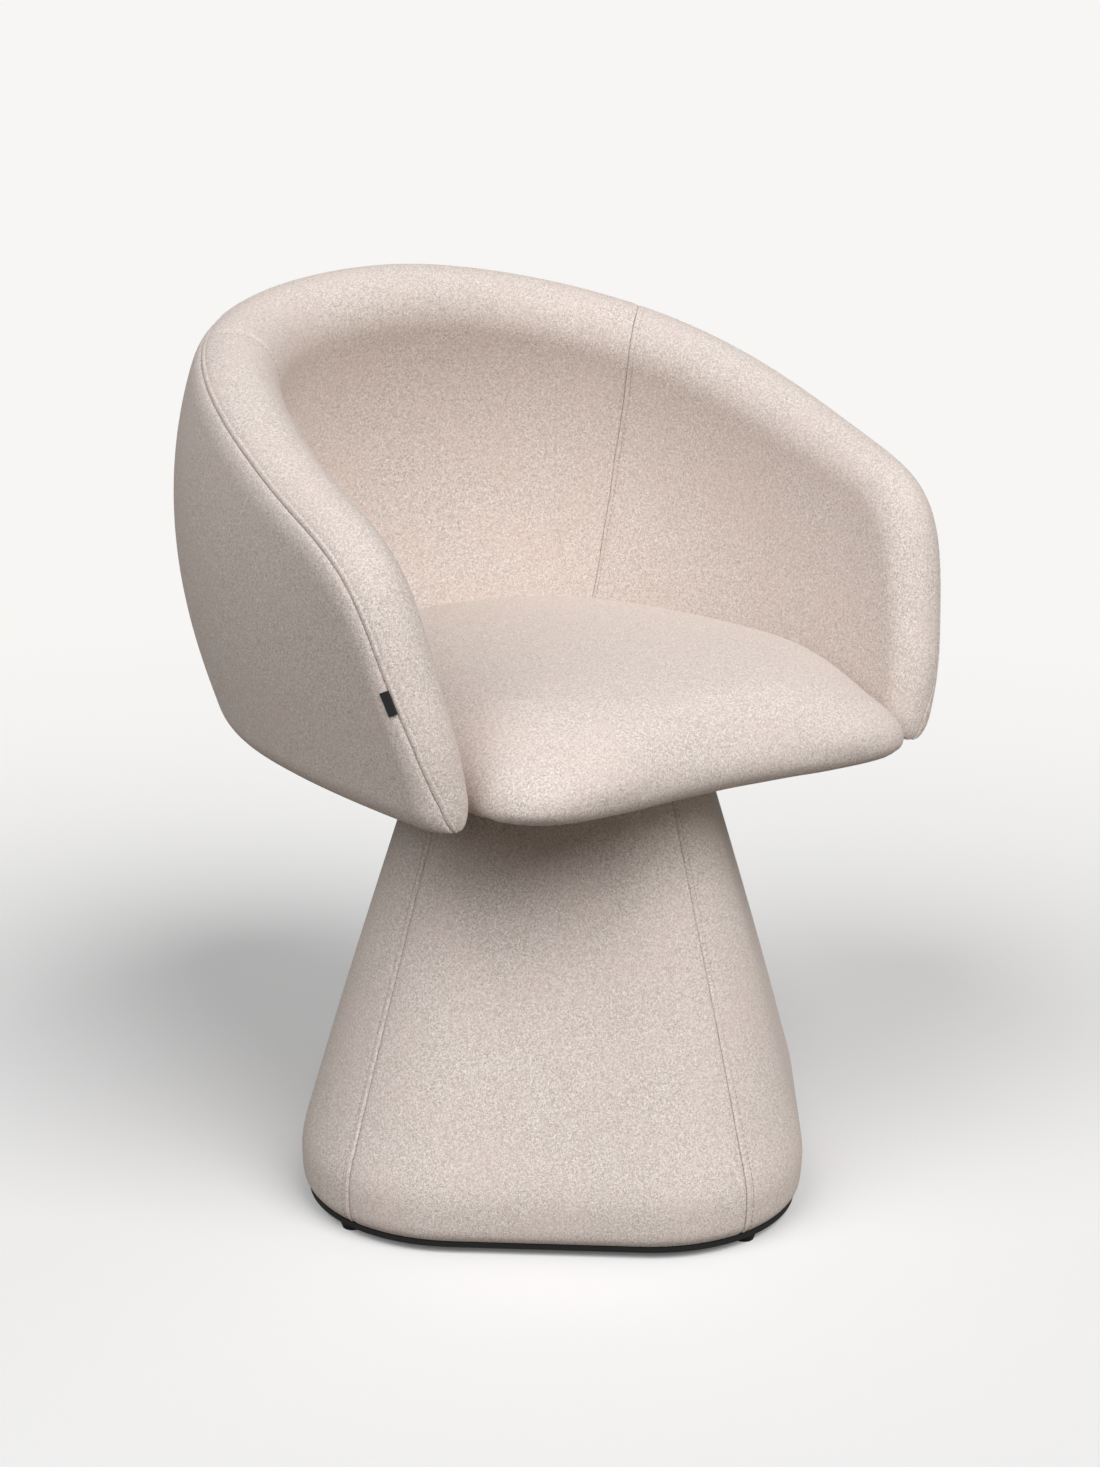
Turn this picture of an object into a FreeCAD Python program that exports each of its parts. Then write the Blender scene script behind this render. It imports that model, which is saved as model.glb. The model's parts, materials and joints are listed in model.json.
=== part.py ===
import FreeCAD, Part
import Sketcher
import math
import os
from FreeCAD import Placement, Rotation, Vector

# Upholstered swivel tub chair: a padded band forms the back and arms over a flared, padded base.
# Millimetres, +Z up, floor at zero, swivel axis on Z, the sitter faces -Y.

sizes = {
    # air between the base and the seat; padded band that makes the back and arms, measured on its middle
    # surface, its heights counted up from the underside
    "seat_gap": 22, "back_rise": 374, "tip_rise": 56, "widest_rise": 218,
    "side_reach": 277, "back_reach": 365, "front_reach": 408, "axis_setback": 52,
    "back_pad": 80, "arm_pad": 71, "tip_pad": 44, "band_root_drop": 30, "edge_rounding": 24,
    # layers of the band, from the outside in
    "fabric": 2, "soft_gap": 0.3, "core_thickness": 12,
    # seat cushion on its board, its heights counted up from the underside
    "seat_front_reach": 240, "seat_lip_rise": 3, "seat_edge_rise": 55, "seat_crown_rise": 83,
    "cushion_clearance": 1, "board_thickness": 18, "board_front_inset": 30, "board_clearance": 0.8,
    "dust_cover_thickness": 1, "dust_cover_margin": 4,
    # flared base, a rounded square in plan
    "base_height": 374, "base_half_width": 219, "base_top_half_width": 124, "base_corner_radius": 138,
    "base_foam": 8, "base_shell": 12, "top_board_thickness": 12, "panel_gap": 0.4,
    "plate_thickness": 5, "plate_inset": 6, "glide_height": 7, "glide_radius": 11, "glide_foot_radius": 8.5,
    "glide_reach": 235, "screw_radius": 2.5, "screw_head_radius": 4.5, "screw_head_height": 2.5,
    "ballast_radius": 130, "ballast_thickness": 20,
    # column inside the base
    "column_radius": 30, "column_wall": 3, "flange_radius": 78, "flange_thickness": 6,
    "foot_radius": 46, "foot_thickness": 6, "bolt_circle": 62, "bolt_radius": 4, "bolt_head_radius": 6.5,
    "bolt_head_height": 4, "nut_height": 6, "bolt_tail": 2, "foot_bolt_circle": 38, "bore_play": 0.5,
    # swivel bearing
    "housing_radius": 26, "housing_depth": 60, "bush_wall": 2.5, "pin_radius": 12.5, "running_fit": 0.05,
    "washer_thickness": 2, "washer_radius": 32, "pin_flange_radius": 44,
    "ring_thickness": 2, "ring_radius": 18, "ring_groove_depth": 1.2, "ring_play": 0.6, "pin_tail": 4,
    # plate that carries the seat board, and its bolts
    "carrier_half_width": 90, "carrier_thickness": 4, "carrier_corner_radius": 12, "carrier_bolt_circle": 96,
    "tee_flange_radius": 9, "tee_flange": 1.5, "tee_barrel_radius": 5.5, "tee_nut_length": 12,
    # screws that tie the band's core to the seat board
    "frame_screw_length": 40,
    # bare woven tag sewn into the left arm's seam
    "tag_length": 19, "tag_width": 7.5, "tag_thickness": 1.2, "tag_lift": 0.4,
    # angles in degrees
    "base_turn": -38, "panel_half_angle": 41.5, "tip_angle": 119.5, "root_angle": 100,
}

document = FreeCAD.newDocument("swivel_chair")
sheet = document.addObject("Spreadsheet::Sheet", "sizes")
for row, (alias, value) in enumerate(sizes.items(), start=1):
    sheet.set(f"A{row}", alias)
    sheet.set(f"B{row}", str(value))
    sheet.setAlias(f"B{row}", alias)
document.recompute()


def size(alias):
    return float(sheet.get(alias))


# Shape of the band. The plan is a rounded oblong about a centre ahead of the swivel axis; the wall
# leans out from the bottom to its widest height and in again above it.
plan_roundness_share = 2.69
lower_side_share, lower_back_share, lower_power_share = 0.878, 0.792, 1.38
upper_side_share, upper_back_share, upper_power_share = -0.206, -0.171, 1.6
# Rim from the middle of the back to the tip of an arm: angle round the plan in degrees, then the height
# as a share of the way from the tip's height to the back's.
rim_angles = (0, 32, 62, 92, 106.2, 115.7)
rim_height_shares = (1, 0.928, 0.779, 0.6, 0.488, 0.19)
# The rim then turns under the tip and back along the bottom edge: angle shares of the tip's angle.
nose_angle_shares = (1, 1.01, 1.012, 0.985)
nose_height_shares = (0, -0.66, -1.15, -1.5)
stations = 24
seam_station = 5
# Slices crowd towards the arm tips by this power.
crowding_power = 1.4
# Where the outer seam lies on the rim's rounding: share of the way to the tip, then degrees from the crest.
seam_angle_shares = ((0, 64), (0.3, 64), (0.5, 58), (0.78, 56), (0.88, 46), (0.95, 12), (1, 2))
tag_stations = (-16, -17)
tag_place_share = 0.64
# Slices where a screw goes through the core.
frame_screw_stations = (-14, -9, -5, 0, 5, 9, 14)
# Last slice whose wall stands square over the lower edge.
wall_station = 19

core_half = size("core_thickness") / 2
gap = size("soft_gap")
fabric = size("fabric")
underside = size("base_height") + size("seat_gap")
back_height = underside + size("back_rise")
tip_height = underside + size("tip_rise")
widest_height = underside + size("widest_rise")
board_bottom = underside + fabric + gap
board_top = board_bottom + size("board_thickness")
origin_z = Vector(0, 0, 1)


def blend(low, high, share):
    return low + (high - low) * share


def mid_point(angle, height):
    """Point of the band's middle surface at an angle in degrees round the plan and a height."""
    turn = math.radians(angle)
    depth = size("back_reach") if math.cos(turn) >= 0 else size("front_reach")
    power = plan_roundness_share
    reach = (abs(math.sin(turn) / size("side_reach")) ** power + abs(math.cos(turn) / depth) ** power)
    reach = reach ** (-1 / power)
    backness = max(math.cos(turn), 0) ** 2
    lower = blend(lower_side_share, lower_back_share, backness)
    upper = blend(upper_side_share, upper_back_share, backness)
    fall = max(widest_height - height, 0) / (widest_height - underside)
    rise = max(height - widest_height, 0) / (back_height - widest_height)
    reach *= 1 - (1 - lower) * fall ** lower_power_share + upper * rise ** upper_power_share
    return Vector(reach * math.sin(turn), reach * math.cos(turn) - size("axis_setback"), height)


def crowded(station):
    """Share of the way from the middle of the back to the arm's tip where a slice stands."""
    return 1 - (1 - abs(station) / stations) ** crowding_power


def rim_curve():
    """The rim drawn flat: arc length round the sides against height, from the left tip to the right."""
    half = [(angle, blend(tip_height, back_height, share))
            for angle, share in zip(rim_angles, rim_height_shares)]
    half += [(size("tip_angle") * turn_share, tip_height + size("tip_rise") * share)
             for turn_share, share in zip(nose_angle_shares, nose_height_shares)]
    points = [Vector(math.radians(-a) * size("side_reach"), z, 0) for a, z in half[:0:-1]]
    points += [Vector(math.radians(a) * size("side_reach"), z, 0) for a, z in half]
    curve = Part.BSplineCurve()
    curve.interpolate(points)
    edge = curve.toShape()
    drawn = []
    for station in range(-stations, stations + 1):
        share = (1 + math.copysign(crowded(station), station)) / 2
        point = edge.valueAt(edge.getParameterByLength(share * edge.Length))
        drawn.append((math.degrees(point.x / size("side_reach")), point.y))
    return drawn


rim = rim_curve()


def pad_thickness(share):
    if share < 0.5:
        return blend(size("back_pad"), size("arm_pad"), share * 2)
    return blend(size("arm_pad"), size("tip_pad"), share * 2 - 1)


def seam_angle(share):
    """Degrees from the rim's crest to the outer seam, on straight lines between the given ones."""
    for (low, first), (high, second) in zip(seam_angle_shares, seam_angle_shares[1:]):
        if share <= high:
            return blend(first, second, (share - low) / (high - low))


class Section:
    """One slice across the band, from its root under the seat to its rim, -24 at the left tip to 24."""

    def __init__(self, station):
        share = crowded(station)
        side = math.copysign(1, station)
        rim_angle, rim_height = rim[station + stations]
        root_angle = side * share * size("root_angle")
        root_height = underside - size("band_root_drop")
        self.half = pad_thickness(share) / 2
        self.seam_angle = seam_angle(share)
        root = mid_point(root_angle, root_height)
        crest = mid_point(rim_angle, rim_height)
        middle_angle, middle_height = blend(root_angle, rim_angle, 0.5), blend(root_height, rim_height, 0.5)
        middle = mid_point(middle_angle, middle_height)
        across = mid_point(middle_angle + 1, middle_height) - mid_point(middle_angle - 1, middle_height)
        upward = mid_point(middle_angle, middle_height + fabric)
        upward -= mid_point(middle_angle, middle_height - fabric)
        self.along = (crest - root).normalize()
        outward = upward.cross(across)
        outward -= self.along * outward.dot(self.along)
        self.out = outward.normalize()
        self.root = root
        length = (crest - root).Length
        bulge = max((middle - root).dot(self.out), length / 1000)
        reach = (middle - root).dot(self.along)
        # circle through the root, the middle and the crest of the slice
        self.drop = (reach * (length - reach) - bulge ** 2) / (2 * bulge)
        self.radius = math.hypot(length / 2, self.drop)
        self.start = -math.atan2(length / 2, self.drop)
        self.end = -self.start - self.half / self.radius
        self.length = length

    def place(self, turn, offset):
        """Point at a turn along the slice's circle, offset outwards from its middle line."""
        radius = self.radius + offset
        along = self.length / 2 + radius * math.sin(turn)
        out = radius * math.cos(turn) - self.drop
        return self.root + self.along * along + self.out * out

    def rim_point(self, degrees, offset):
        """Point on the rounded rim, 0 at the crest, 90 at the outer side, -90 at the inner side."""
        centre = self.place(self.end, 0)
        outward = self.along * math.sin(self.end) + self.out * math.cos(self.end)
        onward = self.along * math.cos(self.end) - self.out * math.sin(self.end)
        turn = math.radians(degrees)
        return centre + outward * offset * math.sin(turn) + onward * offset * math.cos(turn)

    def wall(self, offset):
        """Arc of one face of the slice, from the root up to the rim's rounding."""
        middle = (self.start + self.end) / 2
        return [self.place(turn, offset) for turn in (self.start, middle, self.end)]

    def level_point(self, height, offset):
        """Point of one face of the slice at a height."""
        radius = self.radius + offset
        rise, lean = radius * self.along.z, radius * self.out.z
        wanted = height - self.root.z - self.along.z * self.length / 2 + self.out.z * self.drop
        return self.place(math.asin(wanted / math.hypot(rise, lean)) - math.atan2(lean, rise), offset)

    def rounding(self, first, last, offset):
        return [self.rim_point(blend(first, last, share), offset) for share in (0, 0.5, 1)]


def arc(points):
    return Part.Arc(*points).toShape()


def closed(paths):
    """Closed wire from arcs and lines that follow each other, with a line across each opening."""
    edges = []
    for index, points in enumerate(paths):
        following = paths[(index + 1) % len(paths)]
        edges.append(arc(points) if len(points) > 2 else Part.LineSegment(*points).toShape())
        if points[-1].distanceToPoint(following[0]) > 1e-6 * size("back_rise"):
            edges.append(Part.LineSegment(points[-1], following[0]).toShape())
    return Part.Wire(edges)


def loft(wires, ruled=False):
    solid = Part.makeLoft(wires, True, ruled)
    if solid.Volume < 0:
        solid.reverse()
    return solid


def slab(section, offset):
    """Whole slice of the band at an offset from its middle line."""
    return closed([section.wall(offset), section.rounding(90, 0, offset), section.rounding(0, -90, offset),
                   section.wall(-offset)[::-1]])


def horseshoe(section, outer, inner):
    """Slice of a padding that wraps over the core and leaves room for it."""
    return closed([section.wall(outer), section.rounding(90, 0, outer), section.rounding(0, -90, outer),
                   section.wall(-outer)[::-1], section.wall(-inner), section.rounding(-90, 0, inner),
                   section.rounding(0, 90, inner), section.wall(inner)[::-1]])


def outer_skin(section, outer, inner):
    return closed([section.wall(outer), section.rounding(90, section.seam_angle, outer),
                   section.rounding(section.seam_angle, 90, inner), section.wall(inner)[::-1]])


def inner_skin(section, outer, inner):
    start = section.seam_angle - math.degrees(gap / outer)
    return closed([section.rounding(start, -90, outer), section.wall(-outer)[::-1], section.wall(-inner),
                   section.rounding(-90, start, inner)])


sections = {station: Section(station) for station in range(-stations, stations + 1)}


def band(first, last, wire, *offsets):
    """Ruled loft through the slices from one station to another, at depths below the fabric's face."""
    wires = []
    for station in range(first, last + 1):
        section = sections[station]
        wires.append(wire(section, *[section.half - depth for depth in offsets]))
    return loft(wires, True)


def core_band(half):
    return loft([slab(sections[station], half) for station in range(1 - stations, stations)], True)


def half_space(height):
    """Large block that reaches up from a height."""
    span = 4 * size("side_reach")
    return Part.makeBox(span, span, span, Vector(-span / 2, -span / 2, height))


def wall_points(height, offset, last=wall_station):
    """Points of the band's wall at a height, left to right; offset is a function of the slice."""
    return [sections[station].level_point(height, offset(sections[station]))
            for station in range(-last, last + 1)]


def polygon(points):
    return Part.makePolygon(points + points[:1])


# Lower edge of the band: heights above the underside as shares of the rounding's height, and how far the
# outline draws in there as shares of half the padding's thickness.
edge_height_shares = (0, 0.18, 0.5, 1)
edge_draw_shares = (0.55, 0.27, 0.06, -0.07)


def bowl(depth):
    """Form of the band's rounded lower edge, with a straight front well ahead of the arm tips."""
    wires = []
    for height_share, draw_share in zip(edge_height_shares, edge_draw_shares):
        height = underside + height_share * size("edge_rounding") + depth
        points = wall_points(height, lambda section: section.half * (1 - draw_share) - depth)
        points = [Vector(p.x, p.y, height) for p in points]
        for end, beside in ((0, 1), (-1, -2)):
            points[end] = points[end] + (points[end] - points[beside]).normalize() * size("side_reach") / 2
        wires.append(polygon(points))
    return loft(wires, True)


def edge_trim(depth):
    """What lies outside the rounded lower edge."""
    span = 4 * size("side_reach")
    block = Part.makeBox(span, span, span, Vector(-span / 2, -span / 2, 0))
    block.translate(Vector(0, 0, underside + size("edge_rounding") + depth - span))
    return block.cut(bowl(depth))


# Seat board: it fills the core, and its front bows out between the arms.
nose_width_share, nose_depth_share = 0.86, 0.6


def board_outline(inset, height):
    side = [Vector(p.x, p.y, height) for p in wall_points(board_bottom, lambda section: -core_half - inset)]
    left, right = side[0], side[-1]
    front = Vector(0, -size("seat_front_reach") + size("board_front_inset") + inset, height)
    nose = Vector(right.x * nose_width_share, blend(right.y, front.y, nose_depth_share), height)
    nose_left = Vector(-nose.x, nose.y, height)
    bow = [Part.LineSegment(right, nose), Part.Arc(nose, front, nose_left), Part.LineSegment(nose_left, left)]
    return Part.Wire([part.toShape() for part in bow] + Part.makePolygon(side).Edges)


def prism(wire, height):
    return Part.Face(wire).extrude(origin_z * height)


# Seat cushion: level outlines from its lower lip to its crown. Each has its height as a share of the
# cushion's edge, where it leaves the arms as a share of their length, how far its nose reaches, and its
# nose corner's width and depth as shares of the arm's and the nose's reach.
lip_shares = ((0, 0.97, 0.93, 0.93, 0.925), (0.11, 0.99, 0.96, 0.945, 0.93), (0.28, 0.97, 0.985, 0.945, 0.92),
              (0.5, 0.8, 1, 0.91, 0.89), (0.75, 0.45, 0.985, 0.84, 0.87), (1, -0.05, 0.94, 0.74, 0.87))
crown_room_shares = (0.985, 0.955, 0.91, 0.85, 0.77, 0.67, 0.55, 0.41, 0.25)
crown_power = 2.1
crown_reach_share = 0.12
corner_bow_share = 0.11
lip_bow_share = 0.1
cushion_arcs = 8


def rim_middle(station):
    """Middle of the rim's rounding on a slice."""
    return sections[station].place(sections[station].end, 0)


def last_wall_station(height):
    return max(station for station in range(stations) if rim_middle(station).z > height)


def wall_path(points, ends):
    """Even points along a polyline between two distances in from its ends."""
    lengths = [0]
    for first, second in zip(points, points[1:]):
        lengths.append(lengths[-1] + first.distanceToPoint(second))
    path = []
    for step in range(2 * cushion_arcs + 1):
        reach = blend(ends, lengths[-1] - ends, step / (2 * cushion_arcs))
        index = min(sum(1 for length in lengths[1:] if length < reach), len(points) - 2)
        share = (reach - lengths[index]) / (lengths[index + 1] - lengths[index])
        path.append(points[index] + (points[index + 1] - points[index]) * share)
    return path


def cushion(depth):
    """Closed cushion at a depth below the fabric's outer face."""
    wires = []
    lip = underside + size("seat_lip_rise") + depth
    edge = underside + size("seat_edge_rise") - depth
    crown = underside + size("seat_crown_rise") - depth
    front = size("seat_front_reach") - depth
    middle = -crown_reach_share * size("seat_front_reach")
    inward = size("cushion_clearance") + depth
    levels = []
    for share in lip_shares:
        levels.append((blend(lip, edge, share[0]), 1, blend(lip_bow_share, 1, share[0] ** 2)) + share[1:])
    for room in crown_room_shares:
        bow = (1 - room ** crown_power) ** (1 / crown_power)
        levels.append((blend(edge, crown, bow), room, 1) + lip_shares[-1][1:])
    for height, room, fullness, leave_share, nose_share, corner_share, depth_share in levels:
        wall = wall_points(height, lambda section: -section.half - inward, last_wall_station(height))
        arm = size("axis_setback") + wall[-1].y
        path = wall_path(wall, (1 - leave_share) * abs(arm))
        nose = -front * nose_share
        corner = Vector(path[-1].x * corner_share, nose * depth_share, 0)
        leap = corner - path[-1]
        bend = path[-1] + leap / 2 + Vector(-leap.y, leap.x, 0) * corner_bow_share * fullness
        outline = path + [bend, corner, Vector(0, nose, 0)]
        outline = [Vector(p.x * room, blend(middle, p.y, room), height) for p in outline]
        path, (bend, corner, nose_tip) = outline[:-3], outline[-3:]
        arcs = [path[index:index + 3] for index in range(0, 2 * cushion_arcs, 2)]
        left_corner, left_bend = Vector(-corner.x, corner.y, height), Vector(-bend.x, bend.y, height)
        arcs += [[path[-1], bend, corner], [corner, nose_tip, left_corner], [left_corner, left_bend, path[0]]]
        wires.append(closed(arcs))
    return loft(wires, True)


# Base: height and width shares of its flare, from the plate up; widths are shares between top and widest.
flare_height_shares = (0, 0.014, 0.044, 0.1, 0.188, 0.298, 0.63, 1)
flare_width_shares = (0.937, 0.974, 0.996, 1, 0.925, 0.806, 0.434, 0)
plate_top = size("glide_height") + size("plate_thickness")
turn_base = Rotation(origin_z, size("base_turn"))


def flare_width(height):
    """Half width of the base's fabric at a height, on the straight lines between its given widths."""
    share = (height - plate_top) / (size("base_height") - plate_top)
    for index in range(1, len(flare_height_shares)):
        if share <= flare_height_shares[index]:
            break
    low, high = flare_height_shares[index - 1], flare_height_shares[index]
    width = blend(flare_width_shares[index - 1], flare_width_shares[index], (share - low) / (high - low))
    return blend(size("base_top_half_width"), size("base_half_width"), width)


def rounded_square(half, corner, height):
    """Rounded square wire: four sides and four quarter rounds."""
    edges = []
    for quarter in range(4):
        turn = Rotation(origin_z, 90 * quarter)
        start = Vector(half, -(half - corner), height)
        finish = Vector(half, half - corner, height)
        centre = Vector(half - corner, half - corner, height)
        bow = centre + Vector(corner, corner, 0) * math.sqrt(0.5)
        far = Vector(half - corner, half, height)
        edges.append(Part.LineSegment(turn.multVec(start), turn.multVec(finish)).toShape())
        edges.append(Part.Arc(turn.multVec(finish), turn.multVec(bow), turn.multVec(far)).toShape())
    return Part.Wire(edges)


def flare(depth, bottom, top):
    """Loft of the base's form at a depth below the fabric, between two heights."""
    span = size("base_height") - plate_top
    heights = [plate_top + share * span for share in flare_height_shares]
    inner = [height for height in heights if bottom < height < top]
    wires = []
    for height in [bottom] + inner + [top]:
        half = flare_width(height) - depth
        corner = size("base_corner_radius") * flare_width(height) / size("base_half_width") - depth
        wires.append(rounded_square(half, corner, height))
    return loft(wires, True)


def base_shell(outer, inner, bottom, top):
    return flare(outer, bottom, top).cut(flare(inner, bottom, top))


def panel_sector(from_angle, to_angle):
    """Wedge about the swivel axis, in degrees from the base's front."""
    span = 3 * size("base_half_width")
    steps = 4
    points = [Vector(0, 0, 0)]
    for step in range(steps + 1):
        turn = math.radians(blend(from_angle, to_angle, step / steps))
        points.append(Vector(span * math.sin(turn), -span * math.cos(turn), 0))
    edges = [Part.LineSegment(a, b).toShape() for a, b in zip(points, points[1:] + points[:1])]
    return prism(Part.Wire(edges), span)


nodes = {}
fastener_angles = (45, 135, 225, 315)


def keep(name, item):
    item.Label = name
    nodes[name] = item
    return item


def feature(name, shape):
    item = document.addObject("Part::Feature", name)
    item.Shape = shape
    return keep(name, item)


def bind(item, **expressions):
    for target, expression in expressions.items():
        item.setExpression(target.replace("__", "."), expression)
    return item


def disc(name, radius, height, low, x="0", y="0"):
    """Upright cylinder; every size is an expression on the sheet."""
    item = document.addObject("Part::Cylinder", name)
    return bind(item, Radius=radius, Height=height, Placement__Base__x=x, Placement__Base__y=y,
                Placement__Base__z=low)


def cut(name, base, *tools):
    item = document.addObject("Part::Cut", name)
    item.Base = base
    item.Tool = tools[0] if len(tools) == 1 else joined(name + "_holes", *tools)
    return item


def joined(name, *items):
    item = document.addObject("Part::MultiFuse", name)
    item.Shapes = list(items)
    return item


def group(name, items):
    item = document.addObject("Part::Compound", name)
    item.Links = items
    return item


def ring(name, outer, inner, height, low):
    return cut(name, disc(name + "_outside", outer, height, low), disc(name + "_bore", inner, height, low))


def around(circle, turned=False):
    """Expressions of x and y for four fasteners on a circle."""
    extra = f" + {s}base_turn" if turned else ""
    turns = [f"({angle}{extra})" for angle in fastener_angles]
    return [(f"{circle} * cos{turn}", f"{circle} * sin{turn}") for turn in turns]


def discs(name, circle, radius, height, low, turned=False):
    return [disc(f"{name}_{index}", radius, height, low, x, y)
            for index, (x, y) in enumerate(around(circle, turned))]


def fasteners(name, circle, parts, turned=False):
    """Node of four like fasteners; each is a stack of discs given as (radius, height, low)."""
    stacks = [discs(f"{name}_{layer}", circle, *part, turned) for layer, part in enumerate(parts)]
    if len(stacks) == 1:
        return keep(name, group(name, stacks[0]))
    each = [joined(f"{name}_{index}_whole", *pieces) for index, pieces in enumerate(zip(*stacks))]
    return keep(name, group(name, each))


# Heights of the stack from the floor up, as expressions on the sheet
s = "sizes."
plate_low = s + "glide_height"
plate_high = f"({s}glide_height + {s}plate_thickness)"
foot_high = f"({plate_high} + {s}foot_thickness)"
top_board_low = f"({s}base_height - {s}top_board_thickness)"
head_low = f"({top_board_low} - {s}flange_thickness)"
housing_high = f"({s}base_height + {s}flange_thickness)"
housing_low = f"({housing_high} - {s}housing_depth)"
washer_high = f"({housing_high} + {s}washer_thickness)"
seat_board_low = f"({s}base_height + {s}seat_gap + {s}fabric + {s}soft_gap)"
carrier_low = f"({seat_board_low} - {s}carrier_thickness)"
seat_board_high = f"({seat_board_low} + {s}board_thickness)"
bolt_hole = f"({s}bolt_radius + {s}bore_play)"
pin_bore = f"({s}pin_radius + {s}running_fit)"
neck_bore = f"({s}housing_radius + {s}bore_play)"

# Base plate: a rounded square sheet
plate_half = f"({s}base_half_width - {s}plate_inset)"
plate_body = document.addObject("PartDesign::Body", "plate_blank")
plate_sketch = plate_body.newObject("Sketcher::SketchObject", "plate_outline")
plane = [item for item in plate_body.Origin.OriginFeatures if item.Role == "XY_Plane"][0]
plate_sketch.AttachmentSupport = (plane, [""])
plate_sketch.MapMode = "FlatFace"
half = size("base_half_width") - size("plate_inset")
corners = [Vector(-half, -half, 0), Vector(half, -half, 0), Vector(half, half, 0), Vector(-half, half, 0)]
for index, (first, second) in enumerate(zip(corners, corners[1:] + corners[:1])):
    plate_sketch.addGeometry(Part.LineSegment(first, second), False)
for index, kind in enumerate(("Horizontal", "Vertical", "Horizontal", "Vertical")):
    plate_sketch.addConstraint(Sketcher.Constraint("Coincident", index, 2, (index + 1) % 4, 1))
    plate_sketch.addConstraint(Sketcher.Constraint(kind, index))
plate_sketch.addConstraint(Sketcher.Constraint("Symmetric", 0, 1, 1, 2, -1, 1))
for kind, line in (("DistanceX", 0), ("DistanceY", 1)):
    index = plate_sketch.addConstraint(Sketcher.Constraint(kind, line, 1, line, 2, 2 * half))
    plate_sketch.setExpression(f"Constraints[{index}]", f"2 * {plate_half}")
plate_pad = plate_body.newObject("PartDesign::Pad", "plate_pad")
plate_pad.Profile = plate_sketch
plate_pad.setExpression("Length", s + "plate_thickness")
document.recompute()
upright = [f"Edge{index}" for index, line in enumerate(plate_pad.Shape.Edges, start=1)
           if abs(line.tangentAt(line.FirstParameter).z) > 0.9]
plate_round = plate_body.newObject("PartDesign::Fillet", "plate_corners")
plate_round.Base = (plate_pad, upright)
plate_round.setExpression("Radius", f"{s}base_corner_radius - {s}plate_inset")
plate_body.Tip = plate_round
plate_body.Placement.Rotation = turn_base
plate_body.setExpression("Placement.Base.z", plate_low)
plate_holes = discs("glide_hole", s + "glide_reach", s + "screw_radius", s + "plate_thickness", plate_low,
                    turned=True)
plate_holes += discs("foot_hole", s + "foot_bolt_circle", bolt_hole, s + "plate_thickness", plate_low)
keep("base_plate", cut("base_plate", plate_body, *plate_holes))

# Glides: tapered feet, each with a countersunk screw up into the plate
glides = []
screw_sink = f"({s}glide_height - {s}screw_head_height - {s}screw_head_height)"
for index, (x, y) in enumerate(around(s + "glide_reach", True)):
    pad = document.addObject("Part::Cone", f"glide_pad_{index}")
    bind(pad, Radius1=s + "glide_foot_radius", Radius2=s + "glide_radius", Height=plate_low,
         Placement__Base__x=x, Placement__Base__y=y)
    shank = disc(f"glide_shank_{index}", s + "screw_radius", plate_low, "0", x, y)
    sink = disc(f"glide_sink_{index}", s + "screw_head_radius", f"{screw_sink} + {s}screw_head_height", "0",
                x, y)
    glides.append(cut(f"glide_{index}", pad, shank, sink))
keep("floor_glides", group("floor_glides", glides))
fasteners("glide_screws", s + "glide_reach",
          [(s + "screw_head_radius", s + "screw_head_height", screw_sink),
           (s + "screw_radius", f"{plate_high} - {screw_sink}", screw_sink)], True)

# Steel ballast on the plate, round the column's foot
keep("ballast_disc", ring("ballast_disc", s + "ballast_radius", f"({s}foot_radius + {s}bore_play)",
                          s + "ballast_thickness", plate_high))

# Column: foot bolted to the plate, tube, and head under the top board
foot = disc("foot_blank", s + "foot_radius", s + "foot_thickness", plate_high)
keep("column_foot", cut("column_foot", foot, *discs("foot_thread", s + "foot_bolt_circle", s + "bolt_radius",
                                                    s + "foot_thickness", plate_high)))
fasteners("foot_bolts", s + "foot_bolt_circle",
          [(s + "bolt_head_radius", s + "bolt_head_height", f"{plate_low} - {s}bolt_head_height"),
           (s + "bolt_radius", f"{foot_high} - {plate_low}", plate_low)])
keep("column_tube", ring("column_tube", s + "column_radius", f"({s}column_radius - {s}column_wall)",
                         f"({head_low} - {foot_high})", foot_high))
head = disc("head_blank", s + "flange_radius", s + "flange_thickness", head_low)
keep("column_head", cut("column_head", head, disc("head_bore", neck_bore, s + "flange_thickness", head_low),
                        *discs("head_hole", s + "bolt_circle", bolt_hole, s + "flange_thickness", head_low)))

# Base cone: rigid shell with a top board, thin foam, and four fabric panels seamed at the corners
core_depth = fabric + gap + size("base_foam") + gap
top_board_bottom = size("base_height") - size("top_board_thickness")


def turned_base(shape):
    shape.rotate(Vector(0, 0, 0), origin_z, size("base_turn"))
    return shape


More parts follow.
